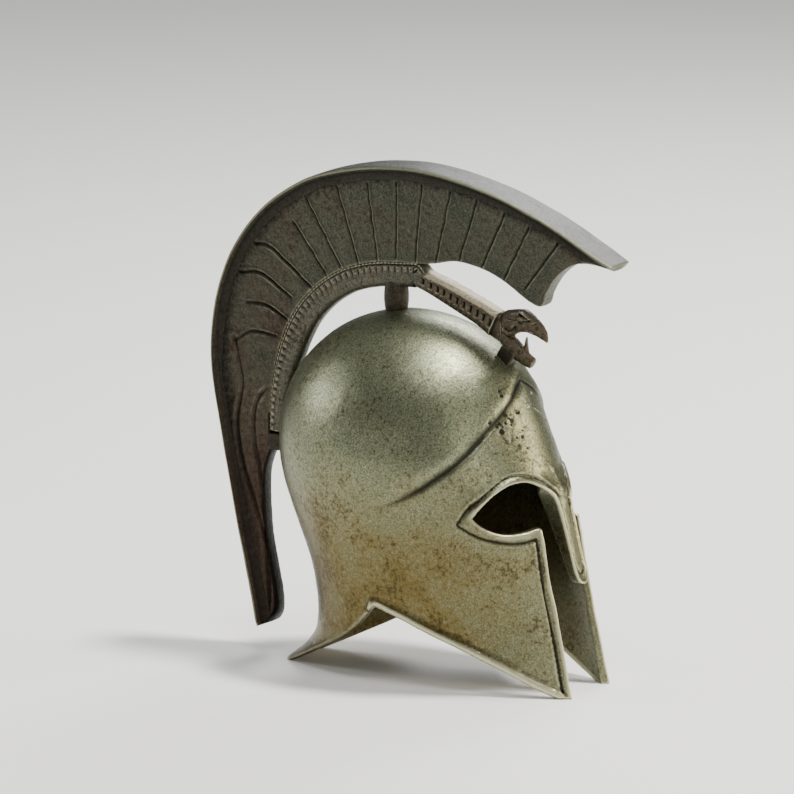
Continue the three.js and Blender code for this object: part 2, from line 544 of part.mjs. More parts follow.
function postSolid() {
  const low = bowlHeight(POST_BACK) - WALL / 2;
  const high = crestPlace(0, PLUME[FORK_ROW].edgeUp).y - 0.9 * BAND_HEIGHT;
  const steps = 4;
  const profile = [new THREE.Vector2(0, low)];
  for (let s = 0; s <= steps; s += 1) {
    const swell = Math.sin((Math.PI * s) / steps);
    profile.push(new THREE.Vector2(
      POST_RADIUS * THREE.MathUtils.lerp(POST_BULGE, 1, swell),
      THREE.MathUtils.lerp(low, high, s / steps),
    ));
  }
  profile.push(new THREE.Vector2(0, high));
  const geometry = new THREE.LatheGeometry(profile, 16);
  geometry.rotateX(Math.PI / 2);
  geometry.translate(0, POST_BACK, 0);
  return toSolid(turnOutward(mergeVertices(stripped(geometry), 1e-4)));
}

function stripped(geometry) {
  geometry.deleteAttribute('normal');
  geometry.deleteAttribute('uv');
  return geometry;
}

function block(wide, from, to) {
  const size = new THREE.Vector3(wide, to.x - from.x, to.y - from.y);
  const geometry = new THREE.BoxGeometry(size.x, size.y, size.z);
  geometry.translate(0, (from.x + to.x) / 2, (from.y + to.y) / 2);
  return toSolid(geometry);
}

const materials = {
  shell: { color: 0x5f6650, roughness: 0.5, metalness: 0.85 },
  crest: { color: 0x3f4238, roughness: 0.6, metalness: 0.8 },
  bird: { color: 0x5b4d3a, roughness: 0.5, metalness: 0.85 },
  brackets: { color: 0x3a3528, roughness: 0.6, metalness: 0.8 },
};

function piece(name, geometry, finish) {
  const mesh = new THREE.Mesh(geometry, new THREE.MeshStandardMaterial(materials[finish]));
  mesh.name = name;
  return mesh;
}

const bowl = toSolid(shellOuter(CLEARANCE));
const plume = toSolid(crestPlume());
const plumeGrown = toSolid(crestPlume(CLEARANCE));
const head = headSolid();
const band = toSolid(crestBand()).subtract(plumeGrown);
const bandGrown = toSolid(crestBand(CLEARANCE));
const post = postSolid().subtract(bowl).subtract(bandGrown);

// The foot stands square on the bowl and ends in the neck
const footBody = new THREE.BoxGeometry(FOOT_WIDTH, FOOT_LENGTH, FOOT_TALL + WALL);
footBody.translate(0, 0, (FOOT_TALL - WALL) / 2);
footBody.rotateX(THREE.MathUtils.degToRad(FOOT_LEAN));
footBody.translate(0, FOOT_BACK, bowlHeight(FOOT_BACK));
const foot = toSolid(footBody).subtract(bowl).subtract(bandGrown).subtract(head).subtract(headSolid(CLEARANCE));

const nape = crestPlace(PLUME[NAPE_ROW + 1].edgeAlong, 0).x;
const bracket = block(
  BRACKET_WIDTH,
  new THREE.Vector2(AXIS_BACK + BOWL_BACK - WALL, BRACKET_LOW),
  new THREE.Vector2(nape + BRACKET_HEIGHT, BRACKET_LOW + BRACKET_HEIGHT),
).subtract(bowl).subtract(plumeGrown).subtract(bandGrown);

const helmet = new THREE.Group();
helmet.add(piece('helmet_shell', helmetShell(), 'shell'));
helmet.add(piece('crest_plume', toGeometry(plume), 'crest'));
helmet.add(piece('crest_band', toGeometry(band), 'bird'));
helmet.add(piece('bird_head', toGeometry(head.subtract(bandGrown)), 'bird'));
helmet.add(piece('crown_post', toGeometry(post), 'brackets'));
helmet.add(piece('front_foot', toGeometry(foot), 'brackets'));
helmet.add(piece('nape_bracket', toGeometry(bracket), 'brackets'));

const box = new THREE.Box3().setFromObject(helmet);
helmet.position.set(0, -(box.min.y + box.max.y) / 2, -box.min.z);

export default helmet;
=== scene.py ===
# A desk-size bronze helmet in the ancient Greek style, with a high fluted crest on a bird-headed band.
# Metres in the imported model's frame, +Z up, the face looks along -Y. Sizes in the sections are in millimetres.
import math

import bmesh
import bpy
import numpy as np
from mathutils import Matrix, Vector, noise
from mathutils.geometry import delaunay_2d_cdt


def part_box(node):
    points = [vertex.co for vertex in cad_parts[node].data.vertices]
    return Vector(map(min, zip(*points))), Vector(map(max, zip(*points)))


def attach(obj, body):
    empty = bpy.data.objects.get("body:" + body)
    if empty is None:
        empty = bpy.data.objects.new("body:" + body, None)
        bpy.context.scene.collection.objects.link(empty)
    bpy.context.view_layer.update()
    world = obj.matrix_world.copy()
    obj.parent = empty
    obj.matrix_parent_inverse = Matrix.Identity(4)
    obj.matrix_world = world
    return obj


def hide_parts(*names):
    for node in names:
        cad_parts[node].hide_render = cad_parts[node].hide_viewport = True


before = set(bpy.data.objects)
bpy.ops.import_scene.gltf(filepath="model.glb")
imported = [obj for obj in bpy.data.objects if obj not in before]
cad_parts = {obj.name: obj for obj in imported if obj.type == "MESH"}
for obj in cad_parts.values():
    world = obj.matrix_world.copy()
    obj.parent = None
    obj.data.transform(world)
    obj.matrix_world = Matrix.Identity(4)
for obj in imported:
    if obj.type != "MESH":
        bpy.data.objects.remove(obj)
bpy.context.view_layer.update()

# Helmet shell: one hollow bronze casting, bowl, face plate, nose guard, cheek pieces and neck guard together.
# Cast in sand from a carved model: soft edges, with pits and grain, and borders raised by hand tools.
MM = 0.001
TIP_PLANE = -101.95            # where the cheek tips stand, along Y in the shared frame
SHELL_HEIGHT, BOWL_WIDTH, BOWL_BACK, FACE_REACH, AXIS_BACK = 192, 114, 74, 120, 105
WALL = 3.5
GIRTH_SIDE, GIRTH_FRONT, GIRTH_BACK = 53.0, 95.0, 68.0          # the bowl's reach at eye height
BROW_STEP, BROW_FADE, BROW_TUCK, BELOW_BROW = 2.5, 28, 1.8, 1.1
KEEL_HIGH, FOREHEAD_DEEP = 1.1, 2.9
BORDER_HIGH, NOSE_BORDER_HIGH, GROOVE_DEEP, GROOVE_HALF, GROOVE_LIP = 1.15, 0.7, 1.25, 0.55, 0.5
LEAF_LOW, LEAF_TALL, LEAF_HALF, LEAF_HIGH = 97, 20, 1.9, 0.75
CHEEK_ROLL_HALF, CHEEK_ROLL_HIGH, NAPE_ROLL_HIGH = 2.3, 1.4, 0.5
EDGE_ROUND, EDGE_REACH = 0.8, 0.9
PIT_DEEP, PIT_HALF = 1.2, 0.62
SECTIONS = np.array([  # height, side, front, back as shares
    (0.000, 0.745, 1.000, 0.980), (0.035, 0.745, 0.982, 0.860), (0.090, 0.748, 0.957, 0.736),
    (0.146, 0.754, 0.930, 0.702), (0.234, 0.780, 0.888, 0.716), (0.312, 0.825, 0.850, 0.763),
    (0.390, 0.877, 0.816, 0.838), (0.469, 0.930, 0.783, 0.919), (0.547, 0.979, 0.750, 0.977),
    (0.635, 1.000, 0.705, 1.000), (0.693, 0.983, 0.668, 0.986), (0.750, 0.949, 0.633, 0.947),
    (0.807, 0.882, 0.592, 0.882), (0.859, 0.788, 0.528, 0.790), (0.901, 0.683, 0.446, 0.684),
    (0.937, 0.560, 0.362, 0.562), (0.966, 0.418, 0.268, 0.420), (0.986, 0.268, 0.170, 0.270),
    (1.000, 0.000, 0.000, 0.000)])
# Outlines: turn in degrees from the middle of the face, height in millimetres
BROW_LINE = [(0, 161.3), (9.5, 156.3), (16.3, 151.5), (21.8, 147.8), (26.3, 144.7), (32.5, 140.3), (38, 135.7),
             (43.8, 130.4), (51.7, 123.4), (58.6, 117.5), (64, 112.7), (67.5, 109.4), (73.4, 105),
             (79.2, 100.6), (84.9, 97.1), (95, 94), (180, 94)]
CHEEK_FRONT = [(27.6, 0), (26.4, 19.8), (25.6, 35.4), (24.6, 47), (23.9, 60.4), (22.3, 75.5), (21.6, 82),
               (21.4, 88.6)]
EYE_LOW = [(21.4, 88.6), (24, 88.6), (29.8, 87.1), (36.3, 86.1), (41, 86.5), (45, 88.3), (48.2, 91.2),
           (50.4, 94.6)]
EYE_HIGH = [(50.4, 94.6), (46.5, 99.8), (42.4, 104.3), (38.5, 107.6), (34.5, 110), (29.7, 111.8), (22.7, 112.2),
            (17.3, 110.2), (12.4, 106.8), (8.6, 102.1), (7, 96.1), (6.7, 88), (6.7, 79.5), (6.8, 65.5),
            (6.2, 61), (4.2, 58.2), (0, 57)]
LOWER_CHEEK = [(33.5, 0), (42.7, 6.1), (51.9, 13.8), (63.6, 23.2), (72.3, 29.6), (81, 36.5), (88.9, 42)]
LOWER_NAPE = [(88.9, 42), (97.8, 32.8), (109.4, 24.4), (125, 16.7), (141, 9), (157, 0)]
GROOVE_CHEEK = [(30.9, 0), (30.4, 12), (30, 22.5), (29.3, 40.7), (28.6, 52.7), (27.3, 64.8), (26, 75.6),
                (25.4, 83)]
GROOVE_EYE_LOW = [(25.4, 83), (31, 81.6), (37.2, 81.2), (43.5, 82.2), (49, 84.2), (53.5, 87.6), (56.6, 91)]
GROOVE_EYE_HIGH = [(56.6, 91), (51.7, 99.3), (47, 103.6), (42.8, 107.4), (38, 111.2), (33.4, 114.1),
                   (28.1, 115.8), (21.8, 115.5), (14.2, 113.1), (9.2, 108.6), (5, 103.2), (4.6, 96), (4.5, 79),
                   (4.4, 66), (0, 61.5)]
PITS = [(27.3, 138.4, 1.2), (19.5, 143.2, 1.1), (22.5, 146.1, 0.7), (23.8, 142.3, 0.7), (27.1, 142.0, 0.6),
        (20.5, 141.1, 0.6), (15.7, 134.6, 0.8), (19.3, 134.6, 0.5), (14.2, 137.7, 0.4), (14.8, 128.9, 0.5),
        (19.3, 130.9, 0.4), (22.9, 158.0, 0.7), (22.9, 155.7, 0.8), (37.0, 145.0, 0.5), (33.6, 143.3, 0.7),
        (35.5, 150.4, 0.4), (31.8, 148.1, 0.5), (26.0, 140.7, 0.5), (21.0, 144.5, 0.5), (29.0, 140.7, 0.5)]


def smooth_between(t, a, b, slope_a, slope_b):
    """From a at t = 0 to b at t = 1, leaving and arriving with the slopes given."""
    return ((2 * t**3 - 3 * t**2 + 1) * a + (t**3 - 2 * t**2 + t) * slope_a
            + (-2 * t**3 + 3 * t**2) * b + (t**3 - t**2) * slope_b)


def along_line(points, step):
    """A smooth line through the points, cut into equal steps of about the length given."""
    p = np.array(points, float)
    before = np.vstack([2 * p[0] - p[1], p[:-1]])
    after = np.vstack([p[1:], 2 * p[-1] - p[-2]])
    slope = (after - before) / 2
    fine = []
    for i in range(len(p) - 1):
        t = np.linspace(0, 1, 24, endpoint=False)[:, None]
        fine.append(smooth_between(t, p[i], p[i + 1], slope[i], slope[i + 1]))
    fine = np.vstack(fine + [p[-1:]])
    run = np.concatenate([[0], np.cumsum(np.linalg.norm(np.diff(fine, axis=0), axis=1))])
    count = max(2, int(round(run[-1] / step)) + 1)
    at = np.linspace(0, run[-1], count)
    return np.column_stack([np.interp(at, run, fine[:, k]) for k in range(fine.shape[1])])


def distance_to_line(points, line):
    """Shortest distance from each point to a line of straight steps."""
    best = np.full(len(points), 1e9)
    for a, b in zip(line[:-1], line[1:]):
        d = b - a
        t = np.clip(((points - a) @ d) / max(d @ d, 1e-12), 0, 1)
        best = np.minimum(best, np.linalg.norm(points - (a + t[:, None] * d), axis=1))
    return best


def rise(x, low, high):
    """0 below low, 1 above high, a smooth step between."""
    t = np.clip((x - low) / (high - low), 0, 1)
    return t * t * (3 - 2 * t)


crown_fall = np.sqrt(1 - SECTIONS[:, 0])[::-1]
section_slopes = [np.gradient(SECTIONS[::-1, c], crown_fall) for c in (1, 2, 3)]


def section_share(height, column):
    """A column of SECTIONS at heights in shares, read as a smooth curve that closes round at the crown."""
    at = np.sqrt(np.clip(1 - height, 0, 1))
    values, slopes = SECTIONS[::-1, column], section_slopes[column - 1]
    i = np.clip(np.searchsorted(crown_fall, at) - 1, 0, len(crown_fall) - 2)
    gap = crown_fall[i + 1] - crown_fall[i]
    t = (at - crown_fall[i]) / gap
    return ((2 * t**3 - 3 * t**2 + 1) * values[i] + (t**3 - 2 * t**2 + t) * gap * slopes[i]
            + (-2 * t**3 + 3 * t**2) * values[i + 1] + (t**3 - t**2) * gap * slopes[i + 1])


def shell_places(turn, height, out):
    """Places on the shell in millimetres, out is the distance outside its bare surface."""
    share = np.clip(height / SHELL_HEIGHT, 0, 1)
    angle = np.radians(turn)
    reach = np.where(np.cos(angle) > 0, section_share(share, 2) * FACE_REACH,
                     section_share(share, 3) * BOWL_BACK)
    side = section_share(share, 1) * BOWL_WIDTH / 2
    return np.column_stack([-np.maximum(side + out, 0) * np.sin(angle),
                            TIP_PLANE + AXIS_BACK - np.maximum(reach + out, 0) * np.cos(angle), height])


# The casting unrolled: arc round the bowl at eye height, and distance up its face, both in millimetres
turn_steps = np.linspace(0, 180, 721)
girth_reach = np.where(turn_steps < 90, GIRTH_FRONT, GIRTH_BACK)
girth_step = np.hypot(GIRTH_SIDE * np.cos(np.radians(turn_steps)),
                      girth_reach * np.sin(np.radians(turn_steps))) * np.radians(0.25)
arc_steps = np.concatenate([[0], np.cumsum((girth_step[1:] + girth_step[:-1]) / 2)])
height_steps = np.linspace(0, SHELL_HEIGHT * 0.999, 800)
wall_lean = np.gradient(section_share(height_steps / SHELL_HEIGHT, 1) * BOWL_WIDTH / 2, height_steps)
climb_steps = np.concatenate([[0], np.cumsum(np.hypot(1, wall_lean)[1:] * np.diff(height_steps))])


def unrolled(points):
    """Turns and heights laid out flat."""
    p = np.array(points, float)
    return np.column_stack([np.sign(p[:, 0]) * np.interp(abs(p[:, 0]), turn_steps, arc_steps),
                            np.interp(p[:, 1], height_steps, climb_steps)])


def rolled(points):
    """Flat places back to turns and heights."""
    return (np.sign(points[:, 0]) * np.interp(abs(points[:, 0]), arc_steps, turn_steps),
            np.interp(points[:, 1], climb_steps, height_steps))


EDGE_STEP = 0.9
cheek_front = along_line(unrolled(CHEEK_FRONT), EDGE_STEP)
eye_low = along_line(unrolled(EYE_LOW), EDGE_STEP)
eye_high = along_line(unrolled(EYE_HIGH), EDGE_STEP)
lower_cheek = along_line(unrolled(LOWER_CHEEK), EDGE_STEP)
lower_nape = along_line(unrolled(LOWER_NAPE), 1.2)
opening_line = np.vstack([cheek_front, eye_low[1:], eye_high[1:]])
lower_line = np.vstack([lower_cheek, lower_nape[1:]])
groove_line = np.vstack([along_line(unrolled(g), 1.2) for g in (GROOVE_CHEEK, GROOVE_EYE_LOW, GROOVE_EYE_HIGH)])
brow_line = along_line(unrolled(BROW_LINE), 1.5)

CAP_HEIGHT = 180.0             # above this the bowl is laid out in rings
BACK_ARC = arc_steps[-1]
cap_level = float(np.interp(CAP_HEIGHT, height_steps, climb_steps))
CAP_COUNT = 150
seam_levels = np.linspace(0, cap_level, int(cap_level / 1.7))[1:-1]
cap_turns = np.linspace(-180, 180, CAP_COUNT + 1)
half = np.vstack([opening_line[::-1], lower_line,
                  np.column_stack([np.linspace(lower_line[-1, 0], BACK_ARC, 16)[1:], np.zeros(15)])])
mirror = half[::-1] * (-1, 1)
seam = np.column_stack([np.full(len(seam_levels), BACK_ARC), seam_levels])
top = np.column_stack([np.sign(cap_turns) * np.interp(abs(cap_turns), turn_steps, arc_steps),
                       np.full(CAP_COUNT + 1, cap_level)])
border = np.vstack([mirror[:-1], half, seam, top[::-1], seam[::-1] * (-1, 1)])


def inside(points, polygon):
    """Which points lie inside a closed polygon."""
    x, y = points[:, 0], points[:, 1]
    hit = np.zeros(len(points), bool)
    for (ax, ay), (bx, by) in zip(polygon, np.roll(polygon, -1, axis=0)):
        crosses = (ay > y) != (by > y)
        with np.errstate(divide="ignore", invalid="ignore"):
            hit ^= crosses & (x < (bx - ax) * (y - ay) / (by - ay) + ax)
    return hit


def beside(line, distance):
    """The line moved sideways, to its left."""
    run = np.gradient(line, axis=0)
    run /= np.linalg.norm(run, axis=1)[:, None]
    return line + np.column_stack([-run[:, 1], run[:, 0]]) * distance


rows = []
for gap in (0.5, 1.1, 1.9, 2.9, 4.0):
    rows += [beside(part, side * gap) for part in (cheek_front, eye_low, eye_high) for side in (1, -1)]
    rows += [beside(part, side * gap) for part in (lower_cheek, lower_nape) for side in (1, -1)]
for gap in (0, 0.45, 0.95, 1.7):
    rows += [beside(groove_line, side * gap) for side in (1, -1)]
for gap in (0.25, 0.8, 1.5, 2.6):
    rows += [beside(brow_line, side * gap) for side in (1, -1)]
pit_places = unrolled([(t, h) for t, h, _ in PITS])
for place, (_, _, size) in zip(pit_places, PITS):
    ring = np.linspace(0, 2 * math.pi, 8, endpoint=False)[:, None]
    for share in (0, 0.45, 0.9, 1.4):
        rows.append(place + share * size * np.column_stack([np.cos(ring), np.sin(ring)]))
rows = np.vstack(rows)
FILL = 1.75
across = np.arange(0, BACK_ARC, FILL)
fill = np.array([(x + (FILL / 2 if i % 2 else 0), y)
                 for i, y in enumerate(np.arange(0, cap_level, FILL * 0.866)) for x in across])
points = np.vstack([rows, fill])
points = points[(points[:, 0] > 0.2) & (points[:, 1] > 0.3) & (points[:, 1] < cap_level - 0.8)
                & (points[:, 0] < BACK_ARC - 0.8)]
points = points[inside(points, border)]


def thinned(points, kept, gaps):
    """Points that keep their own distance from those kept before them, found over a coarse grid."""
    cell, taken = 2.0, {}
    for p in kept:
        taken.setdefault((int(p[0] // cell), int(p[1] // cell)), []).append(tuple(p))
    chosen = []
    for p, gap in zip(points, gaps):
        i, j = int(p[0] // cell), int(p[1] // cell)
        near = (q for a in (i - 1, i, i + 1) for b in (j - 1, j, j + 1) for q in taken.get((a, b), ()))
        if all((p[0] - q[0]) ** 2 + (p[1] - q[1]) ** 2 > gap * gap for q in near):
            taken.setdefault((i, j), []).append(tuple(p))
            chosen.append(p)
    return np.array(chosen)


near_relief = np.minimum.reduce([distance_to_line(points, line) for line in
                                 (opening_line, lower_line, groove_line, brow_line)])
near_pit = np.min(np.linalg.norm(points[:, None] - pit_places[None], axis=2), axis=1)
gaps = np.where(near_relief < 4.5, 0.42 + 0.12 * near_relief, 1.25)
gaps = np.where(near_pit < 1.6, 0.17, gaps)
edge_gap = np.minimum(distance_to_line(points, opening_line), distance_to_line(points, lower_line))
points, gaps = points[edge_gap > 0.3], gaps[edge_gap > 0.3]
points = thinned(points, np.vstack([half, seam, top]), gaps)
middle = np.array([(0.0, y) for y in np.arange(half[0, 1] + 0.6, cap_level - 0.8, 1.4)])
flat = np.vstack([border, middle, points, points * (-1, 1)])
flat_places, _, flat_faces, _, _, _ = delaunay_2d_cdt(
    [Vector(p) for p in flat], [], [list(range(len(border)))], 1, 1e-6)
flat_places = np.array([tuple(p) for p in flat_places])
flat_faces = np.array(flat_faces)

half_places = np.abs(flat_places * (1, 0)) + flat_places * (0, 1)
turn, height = rolled(flat_places)
from_opening = distance_to_line(half_places, opening_line)
from_cheek_edge = distance_to_line(half_places, lower_cheek)
from_nape_edge = distance_to_line(half_places, lower_nape)
from_groove = distance_to_line(half_places, groove_line)
band = inside(half_places, np.vstack([opening_line, (-3, opening_line[-1, 1]), (-3, groove_line[-1, 1]),
                                      groove_line[::-1]]))
band |= from_opening < 1e-6
brow_height = np.interp(half_places[:, 0], brow_line[:, 0], brow_line[:, 1])
above_brow = half_places[:, 1] - brow_height
from_brow = distance_to_line(half_places, brow_line) * np.sign(above_brow)

# Relief, in the order it is cut: brow step, bevelled borders of eyes, nose guard and cheeks, rolled lower edges
brow_share = rise(96 - abs(turn), 0, 32) * (1 - rise(abs(from_brow), 6, BROW_FADE))
rolled_under = -BROW_TUCK + BROW_STEP * (1 - (1 - np.clip(from_brow / 7, 0, 1)) ** 2.6)
relief = brow_share * np.where(from_brow > 0, rolled_under, -BROW_TUCK + BELOW_BROW * rise(-from_brow, 0, 2.2))
relief += KEEL_HIGH * np.exp(-abs(turn) / 6) * rise(height, 150, 160)
relief -= FOREHEAD_DEEP * rise(height, 104, 117) * (1 - rise(height, 158, 175)) * (1 - rise(abs(turn), 22, 58))
width = np.maximum(from_opening + from_groove, 1e-6)
bevel = from_opening / width
nose = (1 - rise(abs(turn), 6.8, 9.5)) * (1 - rise(height, 96, 110))
relief += band * (1 - nose) * (BORDER_HIGH * (1 - rise(bevel, 0.4, 1.0)) - 0.3 * (1 - bevel) ** 3)
relief += band * nose * NOSE_BORDER_HIGH * (1 - rise(from_opening, 1.0, 2.2)) - 0.35 * nose * ~band
leaf_wide = np.maximum(LEAF_HALF * np.sin(np.pi * np.clip((height - LEAF_LOW) / LEAF_TALL, 0, 1)) ** 0.7, 1e-3)
relief += LEAF_HIGH * np.sqrt(np.clip(1 - (half_places[:, 0] / leaf_wide) ** 2, 0, 1)) * (leaf_wide > 0.1)
relief -= GROOVE_DEEP * np.exp(-(from_groove / GROOVE_HALF) ** 2)
relief += GROOVE_LIP * np.exp(-((from_groove - 1.4) / 0.7) ** 2) * ~band * (1 - nose)
roll = np.clip(1 - ((from_cheek_edge - CHEEK_ROLL_HALF) / CHEEK_ROLL_HALF) ** 2, 0, 1)
relief += CHEEK_ROLL_HIGH * np.sqrt(roll) - 0.7 * np.exp(-((from_cheek_edge - 5.0) / 0.55) ** 2)
nape_roll = NAPE_ROLL_HIGH * (1 - rise(from_nape_edge, 2.2, 3.2)) * (abs(turn) > 89)
relief += nape_roll - 0.25 * np.exp(-((from_nape_edge - 3.3) / 0.5) ** 2)
edge = np.minimum.reduce([from_opening, from_cheek_edge, from_nape_edge])
relief -= EDGE_ROUND * np.clip(1 - edge / EDGE_REACH, 0, 1) ** 2
for place, (_, _, size) in zip(pit_places, PITS):
    relief -= PIT_DEEP * size * np.exp(-(np.linalg.norm(half_places - place, axis=1) / (PIT_HALF * size)) ** 2)


def cast_wave(places):
    """The slow unevenness of a hand-finished casting, in millimetres."""
    return np.array([noise.noise(Vector(p) / 23) * 0.35 + noise.noise(Vector(p) / 7 + Vector((9, 2, 5))) * 0.13
                     for p in places])


outer = shell_places(turn, height, relief + cast_wave(shell_places(turn, height, relief)))

# The nose guard is a deep rib behind its face, the rest of the casting has one even wall
NOSE_DEPTH_TOP, NOSE_DEPTH_TIP = 11, 5
rib = NOSE_DEPTH_TIP + (NOSE_DEPTH_TOP - NOSE_DEPTH_TIP) * rise(height, 57, 104)
rib_share = (1 - rise(abs(turn), 8, 15)) * (1 - rise(height, 110, 126))
wall = WALL + (rib - WALL) * rib_share
inner = shell_places(turn, height, -wall + 0.4 * np.clip(1 - edge / 1.2, 0, 1) ** 2)

levels = np.linspace(0, 1, 22)[1:-1]
cap_rows_outer, cap_rows_inner = [], []
for level in levels:
    z = SHELL_HEIGHT - (SHELL_HEIGHT - CAP_HEIGHT) * (1 - level) ** 2
    ring_turns = cap_turns[:-1]
    wave = cast_wave(shell_places(ring_turns, np.full(CAP_COUNT, z), 0))
    keel = KEEL_HIGH * np.exp(-abs(ring_turns) / 6)
    cap_rows_outer.append(shell_places(ring_turns, np.full(CAP_COUNT, z), (wave + keel) * (1 - level)))
    cap_rows_inner.append(shell_places(ring_turns, np.full(CAP_COUNT, z), -WALL) - (0, 0, WALL * level))

verts = np.vstack([outer, inner])
count = len(outer)
corner, next_corner, last_corner = flat_places[flat_faces[0]]
if np.cross(next_corner - corner, last_corner - corner) < 0:
    flat_faces = flat_faces[:, ::-1]
# Turn grows towards the wearer's right, so a face that runs left-handed on the flat looks outward
faces = [tuple(f[::-1]) for f in flat_faces] + [tuple(count + f) for f in flat_faces]


def cap_faces(rows, ring_below, first, outward):
    """Rings of faces from the cap's lowest ring up to the crown, which is one point."""
    made, below = [], list(ring_below)
    for r in range(len(rows)):
        here = [first + r * CAP_COUNT + c for c in range(CAP_COUNT)]
        made += [(below[c], below[(c + 1) % CAP_COUNT], here[(c + 1) % CAP_COUNT], here[c])
                 for c in range(CAP_COUNT)]
        below = here
    crown = first + len(rows) * CAP_COUNT
    made += [(below[c], below[(c + 1) % CAP_COUNT], crown) for c in range(CAP_COUNT)]
    return made if outward else [f[::-1] for f in made]


top_index = [int(np.argmin(np.linalg.norm(flat_places - p, axis=1))) for p in top[:-1]]
start = len(verts)
verts = np.vstack([verts] + cap_rows_outer + [[(0, TIP_PLANE + AXIS_BACK, SHELL_HEIGHT)]])
faces += cap_faces(cap_rows_outer, top_index, start, False)
start = len(verts)
verts = np.vstack([verts] + cap_rows_inner + [[(0, TIP_PLANE + AXIS_BACK, SHELL_HEIGHT - WALL)]])
faces += cap_faces(cap_rows_inner, [count + i for i in top_index], start, True)

# The cast edge between the two faces
edge_places = np.vstack([mirror[:-1], half])
edge_index = [int(np.argmin(np.linalg.norm(flat_places - p, axis=1))) for p in edge_places]
outer_edge, inner_edge = verts[edge_index], verts[[count + i for i in edge_index]]
edge_rows = [edge_index]
for share in (0.16, 0.5, 0.84):
    edge_rows.append([len(verts) + k for k in range(len(edge_index))])
    verts = np.vstack([verts, outer_edge * (1 - share) + inner_edge * share])
edge_rows.append([count + i for i in edge_index])
for low, high in zip(edge_rows[:-1], edge_rows[1:]):
    faces += [(low[i], low[i + 1], high[i + 1], high[i]) for i in range(len(low) - 1)]


def mesh_piece(name, places, faces, merge=1e-5):
    """A new object from places in millimetres, with points that meet made one and faces turned outward."""
    mesh = bpy.data.meshes.new(name)
    mesh.from_pydata([tuple(p) for p in np.asarray(places) * MM], [], [tuple(int(i) for i in f) for f in faces])
    work = bmesh.new()
    work.from_mesh(mesh)
    bmesh.ops.remove_doubles(work, verts=work.verts, dist=merge)
    bmesh.ops.dissolve_degenerate(work, edges=work.edges, dist=1e-7)
    bmesh.ops.recalc_face_normals(work, faces=work.faces)
    work.to_mesh(mesh)
    work.free()
    mesh.shade_smooth()
    made = bpy.data.objects.new(name, mesh)
    bpy.context.collection.objects.link(made)
    return made


def mark_hollows(piece, rounds=2, dirt_and_painted_light_at=None):
    """Stores how hollow (+) or raised (-) the surface is at each point, which wear and dirt follow. More dirt,
    painted shade (+) and painted highlights (-) may be added from a function of the place in millimetres."""
    mesh = piece.data
    n = len(mesh.vertices)
    place = np.empty(n * 3)
    mesh.vertices.foreach_get("co", place)
    normal = np.empty(n * 3)
    mesh.vertices.foreach_get("normal", normal)
    place, normal = place.reshape(-1, 3), normal.reshape(-1, 3)
    ends = np.empty(len(mesh.edges) * 2, int)
    mesh.edges.foreach_get("vertices", ends)
    ends = ends.reshape(-1, 2)
    a, b = ends[:, 0], ends[:, 1]
    run = place[b] - place[a]
    length = np.linalg.norm(run, axis=1) + 1e-9
    links = np.bincount(a, minlength=n) + np.bincount(b, minlength=n)
    turned = np.bincount(a, np.einsum("ij,ij->i", run, normal[a]) / length, n)
    turned += np.bincount(b, -np.einsum("ij,ij->i", run, normal[b]) / length, n)
    hollow = turned / np.maximum(links, 1)
    for _ in range(rounds):
        spread = (np.bincount(a, hollow[b], n) + np.bincount(b, hollow[a], n)) / np.maximum(links, 1)
        hollow = 0.5 * hollow + 0.5 * spread
    # Extra dirt, painted shade and painted highlights given by the piece
    if dirt_and_painted_light_at:
        hollow += dirt_and_painted_light_at(place / MM)
    layer = mesh.attributes.new("hollow", "FLOAT", "POINT")
    layer.data.foreach_set("value", hollow)


def mark_stain(piece, stain_at):
    """Stores a stain at each point, brown (+) or grey (-), from a function of its place in millimetres."""
    place = np.empty(len(piece.data.vertices) * 3)
    piece.data.vertices.foreach_get("co", place)
    layer = piece.data.attributes.new("stain", "FLOAT", "POINT")
    layer.data.foreach_set("value", stain_at(place.reshape(-1, 3) / MM))


shell = mesh_piece("helmet_shell_cast", verts, faces)
brow_turns, brow_heights = rolled(brow_line)
brow_edge = shell_places(brow_turns, brow_heights + 2, -2)[::3]
groove_edge = shell_places(*rolled(groove_line), -0.7)[::2]
cheek_edge = shell_places(*rolled(lower_cheek), 0)[::3]
eye_edge = shell_places(*rolled(np.vstack([cheek_front, eye_low, eye_high])[:-12]), 1)[::3]
pit_centres = shell_places(*rolled(pit_places), -3.5)


def shell_dirt_and_painted_light(p):
    """Painted shade (+) on the bowl's roll over the brow crease, dirt (+) in grooves and casting pits, and the
    cheek's lower roll rubbed pale and painted bright as a highlight (-).
    """
    near = np.column_stack([-abs(p[:, 0]), p[:, 1], p[:, 2]])
    behind_eyes = rise(p[:, 1] - TIP_PLANE, 62, 98)
    # Painted shade: the bowl's roll just above the brow crease turns down and is darkened as if in its own
    # shadow
    dirt = 0.24 * np.exp(-(distance_to_line(near, brow_edge) / 2.9) ** 2) * (1 - behind_eyes)
    dirt += 0.22 * np.exp(-(distance_to_line(near, groove_edge) / 0.75) ** 2)
    # Painted highlight, partly real rubbing: the lower cheek's roll is made pale where its upper flank would
    # catch the light
    dirt -= 0.2 * (1 - rise(distance_to_line(near, cheek_edge), 3.6, 4.6))
    dirt -= 0.05 * (1 - rise(distance_to_line(near, eye_edge), 1.6, 2.8))
    for centre, (_, _, size) in zip(pit_centres, PITS):
        dirt += 0.5 * np.exp(-(np.linalg.norm((near - centre) * (1, 0.3, 1), axis=1) / size) ** 2)
    return dirt


